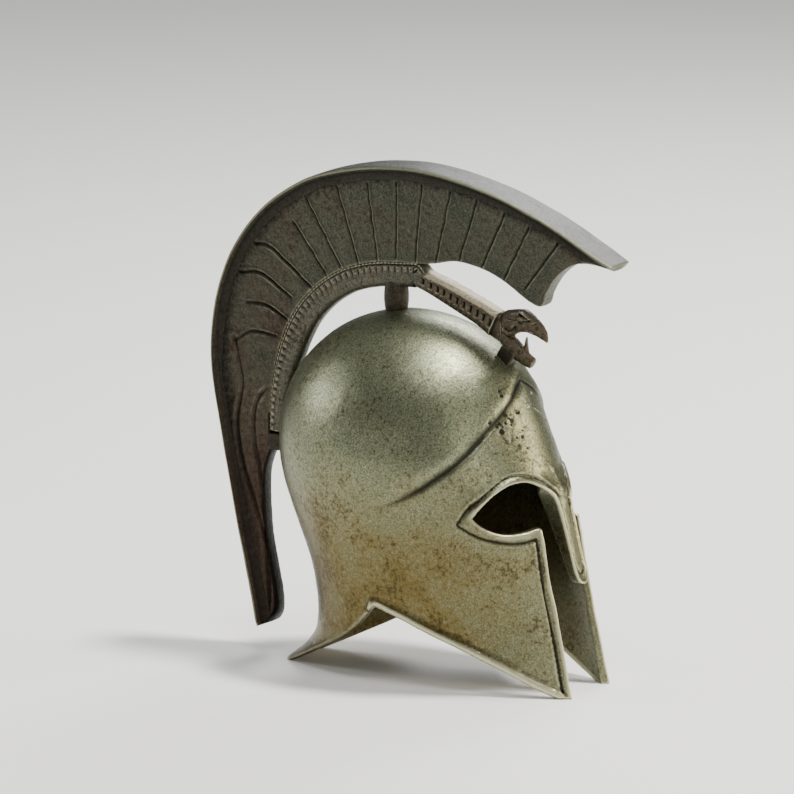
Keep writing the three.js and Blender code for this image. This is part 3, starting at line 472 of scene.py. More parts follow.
# The shell's hollow measure also carries painted shade at the brow and a painted highlight on the lower cheek's
# roll
mark_hollows(shell, 2, shell_dirt_and_painted_light)
mark_stain(shell, lambda p: 0.1 + 0.5 * rise(145 - p[:, 2], 0, 90) * rise(p[:, 1] - TIP_PLANE, -45, 80))


def hex_colour(code):
    """Linear colour from an sRGB hex value."""
    parts = [int(code[i:i + 2], 16) / 255 for i in (0, 2, 4)]
    return tuple(p / 12.92 if p <= 0.04045 else ((p + 0.055) / 1.055) ** 2.4 for p in parts) + (1.0,)


def add_node(tree, kind, settings=None, **links):
    """A node with its settings; a link's name is an input, with _ for a space, or its number after a p."""
    node = tree.nodes.new(kind)
    for key, value in (settings or {}).items():
        if isinstance(key, str) and hasattr(node, key):
            setattr(node, key, value)
        else:
            node.inputs[key].default_value = value
    for key, source in links.items():
        socket = int(key[1:]) if key[0] == "p" and key[1:].isdigit() else key.replace("_", " ")
        tree.links.new(source, node.inputs[socket])
    return node


def cast_bronze(name, ground, pale, dark, worn, brown, grey="6F6C6E",
                speckle=1.0, flecks=0.6, bump=0.25, rough=0.33):
    """Patinated cast bronze: two patinas in a fine salt and pepper grain, faint brown clouds, dark flecks and
    hollows, and high places rubbed; painted shade in the hollow measure darkens like hollows, and painted
    highlights in it turn pale like rubbed places. The stain turns it brown (+) or grey (-). Speckle is the
    grain's size in millimetres."""
    made = bpy.data.materials.new(name)
    made.use_nodes = True
    tree = made.node_tree
    tree.nodes.clear()
    where = add_node(tree, "ShaderNodeTexCoord").outputs["Object"]
    hollow = add_node(tree, "ShaderNodeAttribute", {"attribute_name": "hollow"}).outputs["Fac"]
    stain = add_node(tree, "ShaderNodeAttribute", {"attribute_name": "stain"}).outputs["Fac"]
    salt = add_node(tree, "ShaderNodeTexNoise", {"Scale": 1 / (speckle * MM), "Detail": 4.0, "Roughness": 0.72},
                    Vector=where).outputs["Fac"]
    pepper = add_node(tree, "ShaderNodeTexNoise",
                      {"Scale": 1 / (2.6 * speckle * MM), "Detail": 7.0, "Roughness": 0.78},
                      Vector=where).outputs["Fac"]
    clouds = add_node(tree, "ShaderNodeTexNoise", {"Scale": 1 / (21 * MM), "Detail": 6.0, "Roughness": 0.6},
                      Vector=where).outputs["Fac"]

    def layered(under, over, share):
        mixed = {"data_type": "RGBA", 7: hex_colour(over)}
        return add_node(tree, "ShaderNodeMix", mixed, p0=share, p6=under).outputs[2]

    def share_of(value, low, high, most):
        return add_node(tree, "ShaderNodeMapRange", {"From Min": low, "From Max": high, "To Max": most},
                        Value=value).outputs["Result"]

    def summed(a, b, weight=1.0):
        return add_node(tree, "ShaderNodeMath", {"operation": "MULTIPLY_ADD", 1: weight}, p0=a, p2=b).outputs[0]

    base = add_node(tree, "ShaderNodeMix", {"data_type": "RGBA", 6: hex_colour(ground), 7: hex_colour(pale)},
                    p0=share_of(summed(clouds, salt, 0.35), 0.52, 0.84, 1.0)).outputs[2]
    base = layered(base, brown, share_of(summed(clouds, summed(pepper, stain, 1.0), 1.0), 1.02, 1.65, 0.9))
    base = layered(base, grey, share_of(stain, -0.15, -0.9, 0.9))
    base = layered(base, dark, share_of(summed(clouds, pepper, 0.5), 0.8, 0.87, flecks))
    # Dark in hollows, and where painted shade was added to the hollow measure
    base = layered(base, dark, share_of(hollow, 0.025, 0.2, 0.95))
    # Worn pale on raised places, and where painted highlights were added to the hollow measure
    base = layered(base, worn, share_of(summed(salt, hollow, 0.2), 0.03, -0.12, 0.75))
    dull = add_node(tree, "ShaderNodeMapRange", {"From Min": 0.3, "From Max": 0.7, "To Min": rough - 0.06,
                                                 "To Max": rough + 0.12}, Value=pepper)
    lumps = add_node(tree, "ShaderNodeBump", {"Strength": bump, "Distance": 0.8 * MM}, Height=pepper)
    skin = add_node(tree, "ShaderNodeBump", {"Strength": bump, "Distance": 0.35 * MM}, Height=salt,
                    Normal=lumps.outputs["Normal"])
    shader = add_node(tree, "ShaderNodeBsdfPrincipled", {"Metallic": 0.85}, Base_Color=base,
                      Roughness=dull.outputs["Result"], Normal=skin.outputs["Normal"])
    add_node(tree, "ShaderNodeOutputMaterial", Surface=shader.outputs[0])
    return made


# Green-brown patina, waxed: satin, grey-green in a fine speckle with olive brown, brown low on cheeks and nape
shell.data.materials.append(cast_bronze(
    "green_brown_patina_bronze", "535640", "999F84", "1B1812", "C2BF9E", "5A4A1D", speckle=0.95, rough=0.29))
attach(shell, "root")
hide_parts("helmet_shell")

# Crest plume: the tall fan over the bowl, cast in one with the flat flange along its outer rim.
# The founder's model had its feathers cut with a gouge, so each is a shallow pillow between rough grooves.
CREST_LENGTH, CREST_TOP, CREST_FRONT = 240, 269, 18
RIM_HALF, RIM_SIDE = 11, 1.7
COVE_HIGH, BODY_HALF, INNER_HALF, TAIL_THINNER = 7.6, 7.0, 5.0, 1.5
CUT_DEEP, CUT_HALF, CUT_LIP, CUT_LIP_AHEAD = 1.3, 0.65, 0.65, 1.3
FOLD_DEEP, FOLD_HALF, FOLD_SWELL = 1.05, 0.75, 0.5
PLUME = np.array([  # rim along and up, inner edge along and up, as shares from the front tip over to the tail
    (0.000, 0.849, 0.004, 0.838), (0.042, 0.869, 0.052, 0.845), (0.083, 0.888, 0.092, 0.844),
    (0.112, 0.902, 0.120, 0.833), (0.137, 0.913, 0.149, 0.810), (0.158, 0.922, 0.171, 0.779),
    (0.175, 0.929, 0.183, 0.753), (0.200, 0.938, 0.213, 0.760), (0.254, 0.957, 0.254, 0.783),
    (0.308, 0.972, 0.296, 0.803), (0.363, 0.984, 0.342, 0.816), (0.417, 0.993, 0.396, 0.822),
    (0.471, 0.999, 0.450, 0.813), (0.521, 1.000, 0.492, 0.809), (0.575, 0.997, 0.538, 0.808),
    (0.633, 0.990, 0.583, 0.805), (0.692, 0.978, 0.629, 0.797), (0.750, 0.961, 0.679, 0.782),
    (0.804, 0.935, 0.729, 0.755), (0.858, 0.900, 0.767, 0.725), (0.904, 0.857, 0.797, 0.692),
    (0.942, 0.807, 0.822, 0.652), (0.969, 0.755, 0.840, 0.609), (0.988, 0.697, 0.852, 0.564),
    (0.998, 0.632, 0.861, 0.509), (0.999, 0.576, 0.863, 0.444), (0.992, 0.524, 0.861, 0.410),
    (0.981, 0.472, 0.871, 0.383), (0.969, 0.413, 0.879, 0.353), (0.954, 0.346, 0.879, 0.297),
    (0.935, 0.260, 0.873, 0.230), (0.915, 0.178, 0.860, 0.171), (0.899, 0.112, 0.848, 0.115),
    (0.890, 0.070, 0.848, 0.082), (0.884, 0.053, 0.863, 0.060)])
# Cuts between the feathers, from the rim to the band, behind the cheek tips and above the table
CUTS = [[(12.8, 239.9), (35.6, 210.9)], [(30.8, 246.5), (48.2, 214.8)], [(45.2, 252.4), (61.4, 219.8)],
        [(62.6, 256.4), (75.2, 221.5)], [(78.8, 259.4), (89, 219.5)], [(96.2, 260.2), (101.6, 218.7)],
        [(111.2, 260.8), (113, 219.6)], [(129.3, 258.8), (123.9, 216.4)], [(147.9, 255.8), (135.3, 213)],
        [(167.1, 248.4), (144.9, 208.8)], [(173.8, 233), (153.7, 204.6)],
        [(197.4, 219.3), (186.4, 217.3), (162.3, 197.1)],
        [(206, 203.1), (193.3, 203.4), (176.1, 192.1)], [(201.9, 187.3), (189.9, 186.5), (178.4, 179.6)],
        [(209.9, 165.6), (199.1, 171.8), (184.7, 170.3)]]
# Long folds of the leaf-shaped tail, behind the cheek tips and above the table
LEAF_FOLDS = [[(209.7, 168), (206.5, 154), (204.9, 142.4), (207.9, 123.4), (204.9, 102.5), (198, 80),
               (191.7, 61.4)],
              [(186.9, 144.3), (194, 138), (197.7, 129.8), (198.3, 113.8), (194.7, 92.9), (191.7, 61.4),
               (188.9, 34), (189, 20)]]


def crest_places(along, up):
    """Shares of the crest's length and height to places in the middle plane."""
    return np.column_stack([TIP_PLANE - CREST_FRONT + along * CREST_LENGTH, up * CREST_TOP])


def through_rows(rows, step):
    """A smooth line through evenly counted rows, read at fractional rows."""
    i = np.clip(np.floor(step).astype(int), 0, len(rows) - 2)
    t = (step - i)[:, None]
    a, b = rows[i], rows[i + 1]
    before, after = rows[np.maximum(i - 1, 0)], rows[np.minimum(i + 2, len(rows) - 1)]
    m, n = (b - before) / 2, (after - a) / 2
    return smooth_between(t, a, b, m, n)


rim_rows, edge_rows_flat = crest_places(PLUME[:, 0], PLUME[:, 1]), crest_places(PLUME[:, 2], PLUME[:, 3])
LAST_ROW, LEAF_ROW = len(PLUME) - 1, 22.2
stations = np.concatenate([np.linspace(0, 5, 50, endpoint=False), np.linspace(5, 24, 440, endpoint=False),
                           np.linspace(24, LAST_ROW, 200)])
rim_line, edge_line = through_rows(rim_rows, stations), through_rows(edge_rows_flat, stations)
deep = np.linalg.norm(edge_line - rim_line, axis=1)
leaf_lines = [along_line(fold, 1.5) + (TIP_PLANE, 0) for fold in LEAF_FOLDS]
PANEL = 43                     # points down one side between the cove and the inner edge


def carved(place, share, step):
    """How far a panel stands out (+) or is cut in (-), at places on the flat, shares down it and rows."""
    nearest, ahead = np.full(len(place), 1e9), np.zeros(len(place))
    for i, cut in enumerate(CUTS):
        line = along_line(cut, 1.6) + (TIP_PLANE, 0)
        line[:, 0] += [0.55 * noise.noise(Vector((i * 7.1, z / 5, 0))) for z in line[:, 1]]
        d = distance_to_line(place, line)
        (ay, az), (by, bz) = line[0], line[-1]
        side = (place[:, 0] - ay) * (bz - az) - (place[:, 1] - az) * (by - ay)
        ahead = np.where(d < nearest, np.where(side < 0, -d, d), ahead)
        nearest = np.minimum(nearest, d)
    ends = rise(share, 0.0, 0.05) * (1 - 0.7 * rise(share, 0.93, 1.0))
    bulge, cut = 0.35 * (1 - np.exp(-(nearest / 2.6) ** 2)) - 0.3, CUT_DEEP * np.exp(-(nearest / CUT_HALF) ** 2)
    relief = ends * (bulge - cut + CUT_LIP * np.exp(-((ahead - CUT_LIP_AHEAD) / 0.5) ** 2))
    leafy = rise(step, LEAF_ROW, LEAF_ROW + 1.4)
    for line in leaf_lines:
        d = distance_to_line(place, line)
        fold = FOLD_SWELL * np.exp(-((d - 2.2) / 1.5) ** 2) - FOLD_DEEP * np.exp(-(d / FOLD_HALF) ** 2)
        relief += leafy * (1 - rise(share, 0.86, 0.98)) * fold
    return relief


rows = []
for step, depth in zip(stations, deep):
    half_rim = RIM_HALF * (0.9 + 0.1 * min(step, 1))
    side_high = min(RIM_SIDE, depth * 0.4)
    cove = min(COVE_HIGH, depth * 0.8)
    body = min(BODY_HALF, half_rim * 0.8)
    lip = min(INNER_HALF - TAIL_THINNER * float(rise(step, 24, 27)), body)
    downs, halves = [0.0, 0.02, 0.1, 0.3], [0.0, half_rim * 0.55, half_rim - 1.3, half_rim - 0.35]
    downs += [0.65, side_high * 0.85, side_high, side_high + 0.15, min(side_high + 0.75, depth * 0.55)]
    halves += [half_rim, half_rim, half_rim - 0.25, half_rim - 0.8, half_rim - 1.05]
    curve = np.linspace(0, 1, 12)[1:]
    last = downs[-1]
    downs += list(last + (cove - last) * np.sin(curve * np.pi / 2) ** 1.5)
    halves += list(halves[-1] + (body - halves[-1]) * (1 - (1 - curve) ** 2.0))
    panel = np.linspace(0, 1, PANEL)[1:]
    downs += list(cove + (depth - cove) * panel)
    halves += list(body + (lip - body) * panel ** 1.3)
    downs += [depth + 0.2, depth + 0.45]
    halves += [lip * 0.8, 0.0]
    rows.append(np.column_stack([downs, halves]))
rows = np.array(rows)
down, half_across = rows[:, :, 0], rows[:, :, 1]
aim = (edge_line - rim_line) / deep[:, None]
flat_y = rim_line[:, None, 0] + aim[:, None, 0] * down
flat_z = rim_line[:, None, 1] + aim[:, None, 1] * down
across_count = rows.shape[1]
first_panel = across_count - PANEL - 1
share = np.zeros(across_count)
share[first_panel:first_panel + PANEL - 1] = np.linspace(0, 1, PANEL)[1:]
share_grid = np.tile(share, (len(stations), 1))
step_grid = np.tile(stations[:, None], (1, across_count))
on_panel = np.zeros(across_count, bool)
on_panel[first_panel - 1:first_panel + PANEL - 1] = True
sides = []
for side in (-1, 1):
    relief = carved(np.column_stack([flat_y.ravel(), flat_z.ravel()]), share_grid.ravel(),
                    step_grid.ravel()).reshape(step_grid.shape)
    rough = np.array([noise.noise(Vector((side * 9, y, z)) / 3.1) * 0.26
                      + noise.noise(Vector((side * 5, y, z)) / 1.1) * 0.15
                      for y, z in zip(flat_y.ravel(), flat_z.ravel())]).reshape(step_grid.shape)
    soft = np.where(on_panel, 1.0, 0.35)
    x = half_across + np.where(on_panel, relief, 0) + rough * soft * (half_across > 1)
    sides.append(np.stack([side * x, flat_y, flat_z], axis=2))
wobble = np.array([noise.noise(Vector((3, y, z)) / 14) * 0.3 for y, z in zip(rim_line[:, 0], rim_line[:, 1])])
for grid in sides:
    grid[:, :7, 1] -= aim[:, None, 0] * wobble[:, None] * 0.5
    grid[:, :7, 2] -= aim[:, None, 1] * wobble[:, None] * 0.5
# Once round: inner edge, near side, rim, far side
loop = np.concatenate([sides[0][:, ::-1][:, :-1], sides[1][:, :-1]], axis=1)
ring_count = loop.shape[1]
verts = loop.reshape(-1, 3)


def ring_faces(bands, around):
    """Faces between rings of points that follow each other, all with the same number of points."""
    corners = [(r * around, (r + 1) * around, c, (c + 1) % around) for r in range(bands) for c in range(around)]
    return [(here + c, here + n, above + n, above + c) for here, above, c, n in corners]


faces = ring_faces(len(stations) - 1, ring_count)
for r, flip in ((0, False), (len(stations) - 1, True)):
    ring = [r * ring_count + c for c in range(ring_count)]
    middle_place = verts[ring].mean(axis=0) + np.array((0, -0.4 if r == 0 else 0, 0 if r == 0 else -0.3))
    verts = np.vstack([verts, middle_place])
    faces += [(ring[c], ring[(c + 1) % ring_count], len(verts) - 1)[::-1 if flip else 1]
              for c in range(ring_count)]
plume = mesh_piece("crest_plume_cast", verts, faces)
on_rim = rim_line[::9]


def cove_painted_shade(p):
    """Painted shade in the cove moulding under the flange and on the strip along the tail's inner edge."""
    down = distance_to_line(p[:, 1:], on_rim)
    strip = 1 - rise(distance_to_line(p[:, 1:], edge_line[500::9]), 0.7, 1.6)
    return 0.15 * rise(down, 1.6, 3) * (1 - rise(down, 5.5, 13)) + 0.3 * strip


def plume_stain(p):
    """Brown low down and towards the tail, grey on top of the rim."""
    rim_top = (distance_to_line(p[:, 1:], on_rim) < 0.45) & (abs(p[:, 0]) < RIM_HALF - 1.6)
    return 0.22 + 0.25 * rise(150 - p[:, 2], 0, 70) + 0.15 * rise(p[:, 1] - 60, 0, 30) - 1.6 * rim_top


# The plume's hollow measure also carries painted shade under the flange and along the tail's inner strip
mark_hollows(plume, 2, cove_painted_shade)
mark_stain(plume, plume_stain)
# Dark grey-green patina over coarse sand grain, brown towards the tail, grey on top of the rim
plume.data.materials.append(cast_bronze(
    "dark_patina_bronze", "2A2C25", "5C6152", "12100D", "8F9178", "43332A", "4D4C4B",
    speckle=0.9, flecks=0.4, bump=0.5, rough=0.4))
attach(plume, "root")
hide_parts("crest_plume")

# Crest band: the corded moulding cast along the plume's inner edge, which leaves it at the fork and runs on
# forward as the bird's neck. Beads were punched along the band, and feathers cut into the neck's sides.
BAND_HALF, BAND_HIGH, NAPE_ROW, FORK_ROW = 6.0, 12.4, 25, 13
NECK = [(0.468, 0.793, 0.84), (0.420, 0.779, 0.94), (0.370, 0.761, 1.00), (0.320, 0.742, 1.06),
        (0.290, 0.729, 1.16)]
BEAD_PITCH, FEATHER_PITCH = 3.9, 4.4
BEAD_HIGH, BEAD_SUNK, GUTTER_DEEP, SLOT_DEEP, CHOP_DEEP, CHOP_PITCH = 1.5, 0.85, 1.0, 1.7, 0.5, 3.3
band_rows = [(*crest_places(PLUME[r, 2], PLUME[r, 3])[0], min(0.6 + i * 0.12, 1))
             for i, r in enumerate(range(NAPE_ROW, FORK_ROW - 1, -1))]
band_rows += [(*crest_places(np.array(a), np.array(u))[0], tall) for a, u, tall in NECK]
band_rows = np.array(band_rows)
band_steps = np.linspace(0, len(band_rows) - 1, 560)
band_line = through_rows(band_rows, band_steps)
band_run = np.gradient(band_line[:, :2], axis=0)
band_run /= np.linalg.norm(band_run, axis=1)[:, None]
band_up = np.column_stack([band_run[:, 1], -band_run[:, 0]])
band_arc = np.concatenate([[0], np.cumsum(np.linalg.norm(np.diff(band_line[:, :2], axis=0), axis=1))])
neck_start = band_arc[np.searchsorted(band_steps, NAPE_ROW - FORK_ROW + 0.8)]
neck_share = rise(band_arc, neck_start - 2.5, neck_start + 3)
AROUND = 64
ring = np.linspace(0, 2 * np.pi, AROUND, endpoint=False) + np.pi / AROUND
up_share, side_share = (np.sign(v) * np.abs(v) ** 0.62 for v in (np.cos(ring), np.sin(ring)))
verts = []
for k, arc in enumerate(band_arc):
    tall = BAND_HIGH * band_line[k, 2] * (1 + 0.14 * (1 - neck_share[k]))
    q = up_share                   # -1 at the band's lower face to 1 at its upper one
    bead = np.abs(np.sin(np.pi * (arc / BEAD_PITCH + 0.10 * q)))
    in_beads = np.clip(1 - np.abs((q - 0.40) / 0.27) ** 4, 0, 1)
    ledge = np.exp(-((q - 0.90) / 0.11) ** 2) * (0.4 + 0.3 * np.sin(2 * np.pi * arc / 2.3))
    gutters = np.exp(-((q - 0.73) / 0.05) ** 2) + np.exp(-((q - 0.06) / 0.06) ** 2) * (0.6 + 0.5 * (1 - bead))
    corded = in_beads * (BEAD_HIGH * bead ** 0.6 - BEAD_SUNK) - GUTTER_DEEP * gutters + ledge
    corded += 0.25 * np.exp(-((q + 0.12) / 0.09) ** 2) - 0.4 * np.clip(-(q + 0.2), 0, 0.6)
    slot = np.abs(((arc / FEATHER_PITCH + 0.3 * q) % 1) - 0.5) * 2
    in_slots = np.clip(1 - np.abs((q - 0.05) / 0.36) ** 4, 0, 1)
    feathered = 0.6 * np.exp(-((q - 0.74) / 0.2) ** 2) - SLOT_DEEP * in_slots * np.exp(-(slot / 0.5) ** 2)
    chopped = np.abs(((arc / CHOP_PITCH + 0.3 * q) % 1) - 0.5) * 2
    feathered -= CHOP_DEEP * np.exp(-((q + 0.62) / 0.22) ** 2) * np.exp(-(chopped / 0.4) ** 2)
    relief = (1 - neck_share[k]) * corded + neck_share[k] * feathered
    x = np.sign(side_share) * (np.abs(side_share) * BAND_HALF - 0.15 + relief * np.abs(side_share) ** 0.5)
    high = up_share * tall / 2
    ends = min(1, (band_arc[-1] - arc) / 0.6 + 0.6, arc / 0.6 + 0.6)
    centre = band_line[k, :2] - band_up[k] * (tall / 2 - 0.45 * (1 - neck_share[k]))
    verts.append(np.column_stack([x * ends, centre[0] + band_up[k, 0] * high,
                                  centre[1] + band_up[k, 1] * high]))
# The neck's end runs on square to meet the head
HEAD_BACK = TIP_PLANE + 50.9
fall = band_run[-1, 1] / band_run[-1, 0]
for share in (0.5, 1):
    end = verts[len(band_arc) - 1]
    shift = (np.minimum(end[:, 1], HEAD_BACK) - end[:, 1]) * share
    verts.append(end + np.column_stack([0 * shift, shift, shift * fall]))
verts = np.vstack(verts)
rough = np.array([noise.noise(Vector(p) / 1.6) * 0.16 + noise.noise(Vector(p) / 0.7) * 0.07 for p in verts])
verts[:, 0] += np.sign(verts[:, 0]) * rough
verts[:, 2] += rough * 0.6


def closed_run(verts, around):
    """A run of rings of points with its faces, and a point that closes each end."""
    last = len(verts) // around - 1
    faces = ring_faces(last, around)
    for first in (0, last * around):
        verts = np.vstack([verts, verts[first:first + around].mean(axis=0)])
        faces += [(first + c, first + (c + 1) % around, len(verts) - 1) for c in range(around)]
    return verts, faces


corded_band = mesh_piece("crest_band_cast", *closed_run(verts, AROUND))
neck_back = band_line[np.searchsorted(band_arc, neck_start), 0]
neck_top = band_line[band_arc > neck_start + 1, :2][::6]


def neck_dirt_and_painted_highlight(p):
    """The neck's ridge is rubbed and painted bright as a highlight (-), and dirt lies where it meets the head
    (+).
    """
    ridge = (1 - rise(distance_to_line(p[:, 1:], neck_top), 1.7, 3.0)) * rise(neck_back - p[:, 1], 0, 2)
    return 0.3 * np.exp(-((p[:, 1] - HEAD_BACK) / 0.9) ** 2) - 0.15 * ridge


# The neck's ridge gets a painted highlight, partly real rubbing
mark_hollows(corded_band, 1, neck_dirt_and_painted_highlight)
mark_stain(corded_band, lambda p: 0.1 + 0.3 * rise(neck_back - p[:, 1], -1, 5))
# Dark like the plume behind, brown along the neck, worn pale on beads and ridges with a painted highlight on the
# neck's ridge, near black between them
corded_band.data.materials.append(cast_bronze(
    "brown_patina_bronze", "37362E", "6A695B", "120F0C", "BDB295", "4F4130", speckle=0.8, bump=0.45,
    rough=0.38))
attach(corded_band, "root")
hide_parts("crest_band")

# Bird's head: one casting with its hooked beak open, brow ridges over round eyes and a boss behind each.
# Modelled as blocks of wax are pressed together, then made one skin, as the founder's model was.
wax = []


def wax_loft(stations, around=20):
    """A closed body through oval sections: along, up, half width, half height, lean in degrees."""
    verts = []
    for along, up, wide, high, lean in stations:
        t = np.linspace(0, 2 * np.pi, around, endpoint=False)
        c, s = math.cos(math.radians(lean)), math.sin(math.radians(lean))
        rise_by = np.cos(t) * high
        verts.append(np.column_stack([np.sin(t) * wide, TIP_PLANE + along + s * rise_by, up + c * rise_by]))
    wax.append(mesh_piece("wax", *closed_run(np.vstack(verts), around)))


def wax_ball(x, along, up, radii, tilt=0):
    """An oval lump pressed on, on both sides where x isn't 0. Radii across, along and up, tilt in degrees."""
    for side in ((1, -1) if x else (1,)):
        t = np.linspace(0, np.pi, 11)[1:-1]
        rows = [(along - math.cos(a) * radii[1] * math.cos(math.radians(tilt)),
                 up - math.cos(a) * radii[1] * math.sin(math.radians(tilt)),
                 radii[0] * math.sin(a), radii[2] * math.sin(a), 0) for a in t]
        wax_loft(rows, 16)
        wax[-1].data.transform(Matrix.Translation((side * x * MM, 0, 0)))


# Skull and upper beak, along and up as behind the cheek tips and above the table
wax_loft([(50.6, 187.8, 4.9, 8.2, 4), (48.2, 189.4, 5.0, 8.2, 2), (45.0, 191.0, 5.1, 7.4, 0),
          (42, 192.2, 5.0, 6.6, -4), (39, 192.8, 4.7, 6.3, -8), (36.5, 192.4, 4.2, 5.8, -14),
          (34, 191.2, 3.7, 5.0, -20), (31.5, 189.8, 3.1, 4.4, -28), (29.3, 188.2, 2.5, 3.8, -40),
          (27.5, 186.4, 2.0, 3.0, -54), (26.2, 184.6, 1.4, 2.0, -68), (25.3, 183.2, 0.8, 1.1, -80),
          (24.8, 182.4, 0.35, 0.5, -86)])
# Throat and lower beak, cut off square
wax_loft([(50.6, 183.4, 4.4, 4.0, -20), (48, 181.4, 4.4, 4.4, -28), (45.5, 179.0, 4.2, 4.8, -34),
          (43, 176.6, 3.9, 4.8, -40), (40.4, 174.6, 3.5, 4.4, -42), (37.8, 172.9, 3.1, 3.9, -40),
          (35.4, 171.5, 2.7, 3.5, -36), (33.5, 170.6, 2.4, 3.2, -32), (33.0, 170.3, 1.9, 2.7, -32)])
# Tongue, a fin between the beaks
wax_loft([(37.8, 175.0, 1.4, 2.5, 90), (37.6, 177.6, 1.2, 1.9, 90), (37.2, 180.6, 1.0, 1.2, 90),
          (37.0, 183.0, 0.8, 0.7, 90), (36.9, 184.4, 0.5, 0.4, 90)], 12)
wax_ball(4.1, 38.6, 194.4, (1.5, 1.5, 1.5))
wax_ball(3.9, 44.4, 190.6, (1.6, 2.6, 2.2), 10)
wax_ball(3.5, 36.6, 196.2, (1.2, 4.0, 0.9), 30)
wax_ball(3.6, 41.8, 196.6, (1.1, 2.6, 0.8), -6)
wax_ball(2.5, 32.4, 192.6, (0.9, 2.0, 0.8), 34)
wax_ball(2.9, 35.6, 188.8, (0.8, 4.2, 0.7), 22)
wax_ball(4.1, 47.6, 193.4, (1.1, 1.1, 1.5))
wax_ball(4.2, 48.8, 188.0, (1.0, 1.0, 1.7))
joined = bmesh.new()
for lump in wax:
    joined.from_mesh(lump.data)
    bpy.data.objects.remove(lump)
mesh = bpy.data.meshes.new("bird_head_cast")
joined.to_mesh(mesh)
joined.free()
bird = bpy.data.objects.new("bird_head_cast", mesh)
bpy.context.collection.objects.link(bird)
skin = bird.modifiers.new("skin", "REMESH")
skin.mode, skin.voxel_size = "VOXEL", 0.3 * MM
ease = bird.modifiers.new("ease", "SMOOTH")
ease.factor, ease.iterations = 0.5, 3
solid = bpy.data.meshes.new_from_object(bird.evaluated_get(bpy.context.evaluated_depsgraph_get()))
bird.modifiers.clear()
bird.data = solid
# Tool cuts, each a line along and up, its half width and its depth: under the brow, round the eye, the crescent
# below the boss, the nostril and the mouth's corner
HEAD_CUTS = [
    ([(35.2, 194.6), (37.0, 196.0), (39.4, 196.6)], 0.55, 0.8),
    ([(33.8, 193.6), (35.6, 193.2)], 0.5, 0.8),
    ([(36.6, 193.2), (37.8, 192.2), (39.8, 192.4)], 0.45, 0.6),
    ([(41.6, 189.6), (43.2, 187.8), (45.8, 187.2), (47.4, 188.4)], 0.7, 1.1),
    ([(41.4, 193.4), (43.0, 193.6), (45.4, 193.8)], 0.4, 0.5),
    ([(30.4, 192.2), (31.8, 191.6)], 0.4, 0.6),
    ([(44.2, 183.4), (47.4, 184.6), (50.0, 186.4)], 0.5, 0.5),
    ([(49.6, 191.0), (49.0, 188.8), (49.8, 186.6)], 0.4, 0.6)]
count = len(bird.data.vertices)
place = np.empty(count * 3)
bird.data.vertices.foreach_get("co", place)
place = place.reshape(-1, 3) / MM
normal = np.empty(count * 3)
bird.data.vertices.foreach_get("normal", normal)
normal = normal.reshape(-1, 3)
push = np.array([noise.noise(Vector(p) / 1.3) * 0.14 + noise.noise(Vector(p) / 3.5) * 0.12 for p in place])
flat_head = place[:, 1:] - (TIP_PLANE, 0)
for line, wide, depth in HEAD_CUTS:
    near = distance_to_line(flat_head, np.array(line, float))
    push -= depth * np.exp(-(near / wide) ** 2) * rise(np.abs(place[:, 0]), 0.8, 2.0)
place += normal * push[:, None]
bird.data.vertices.foreach_set("co", (place * MM).ravel())
bird.data.update()
bird.data.shade_smooth()
mark_hollows(bird, 1)
bird.data.materials.clear()
mark_stain(bird, lambda p: np.full(len(p), 0.4))
bird.data.materials.append(corded_band.data.materials[0])
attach(bird, "root")
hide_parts("bird_head")

# Barrel post on the crown, foot block under the bird's neck and bracket at the nape: plain cast bronze lugs,
# filed by hand and left brown, that the crest is set down on.
POST_BACK, POST_RADIUS, POST_AROUND, POST_RINGS = 115, 6.6, 48, 25


def finish_lug(name, made):
    """Marks and finishes a small cast lug and sets it in the node's place."""
    mark_hollows(made, 2, lambda p: np.full(len(p), 0.09))
    made.data.materials.append(lug_bronze)
    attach(made, "root")
    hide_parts(name)


lug_bronze = cast_bronze("dark_brown_bronze", "2E2A22", "474236", "100E0B", "8F8668", "3B3022",
                         speckle=0.9, bump=0.35, rough=0.42)
low, high = (v.z / MM for v in map(Vector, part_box("crown_post")))
n = POST_AROUND
turns = np.linspace(0, 2 * np.pi, n, endpoint=False)
rings = []
for share in np.linspace(0, 1, POST_RINGS):
    swell = 0.86 + 0.14 * math.sin(math.pi * share)
    radius = POST_RADIUS * swell * (0.95 if share in (0, 1) else 1)
    z = low + (high - low) * share
    ring = np.column_stack([np.cos(turns) * radius, TIP_PLANE + POST_BACK + np.sin(turns) * radius,
                            np.full(n, z)])
    rings.append(ring + np.array([noise.noise(Vector(p) / 2.5) * 0.12 for p in ring])[:, None] * (1, 1, 0))
verts = np.vstack(rings + [[(0, TIP_PLANE + POST_BACK, low)], [(0, TIP_PLANE + POST_BACK, high)]])
faces = ring_faces(POST_RINGS - 1, n)
faces += [(c, (c + 1) % n, len(verts) - 2) for c in range(n)]
top_ring = (POST_RINGS - 1) * n
faces += [(top_ring + c, top_ring + (c + 1) % n, len(verts) - 1) for c in range(n)]
finish_lug("crown_post", mesh_piece("crown_post_cast", verts, faces))


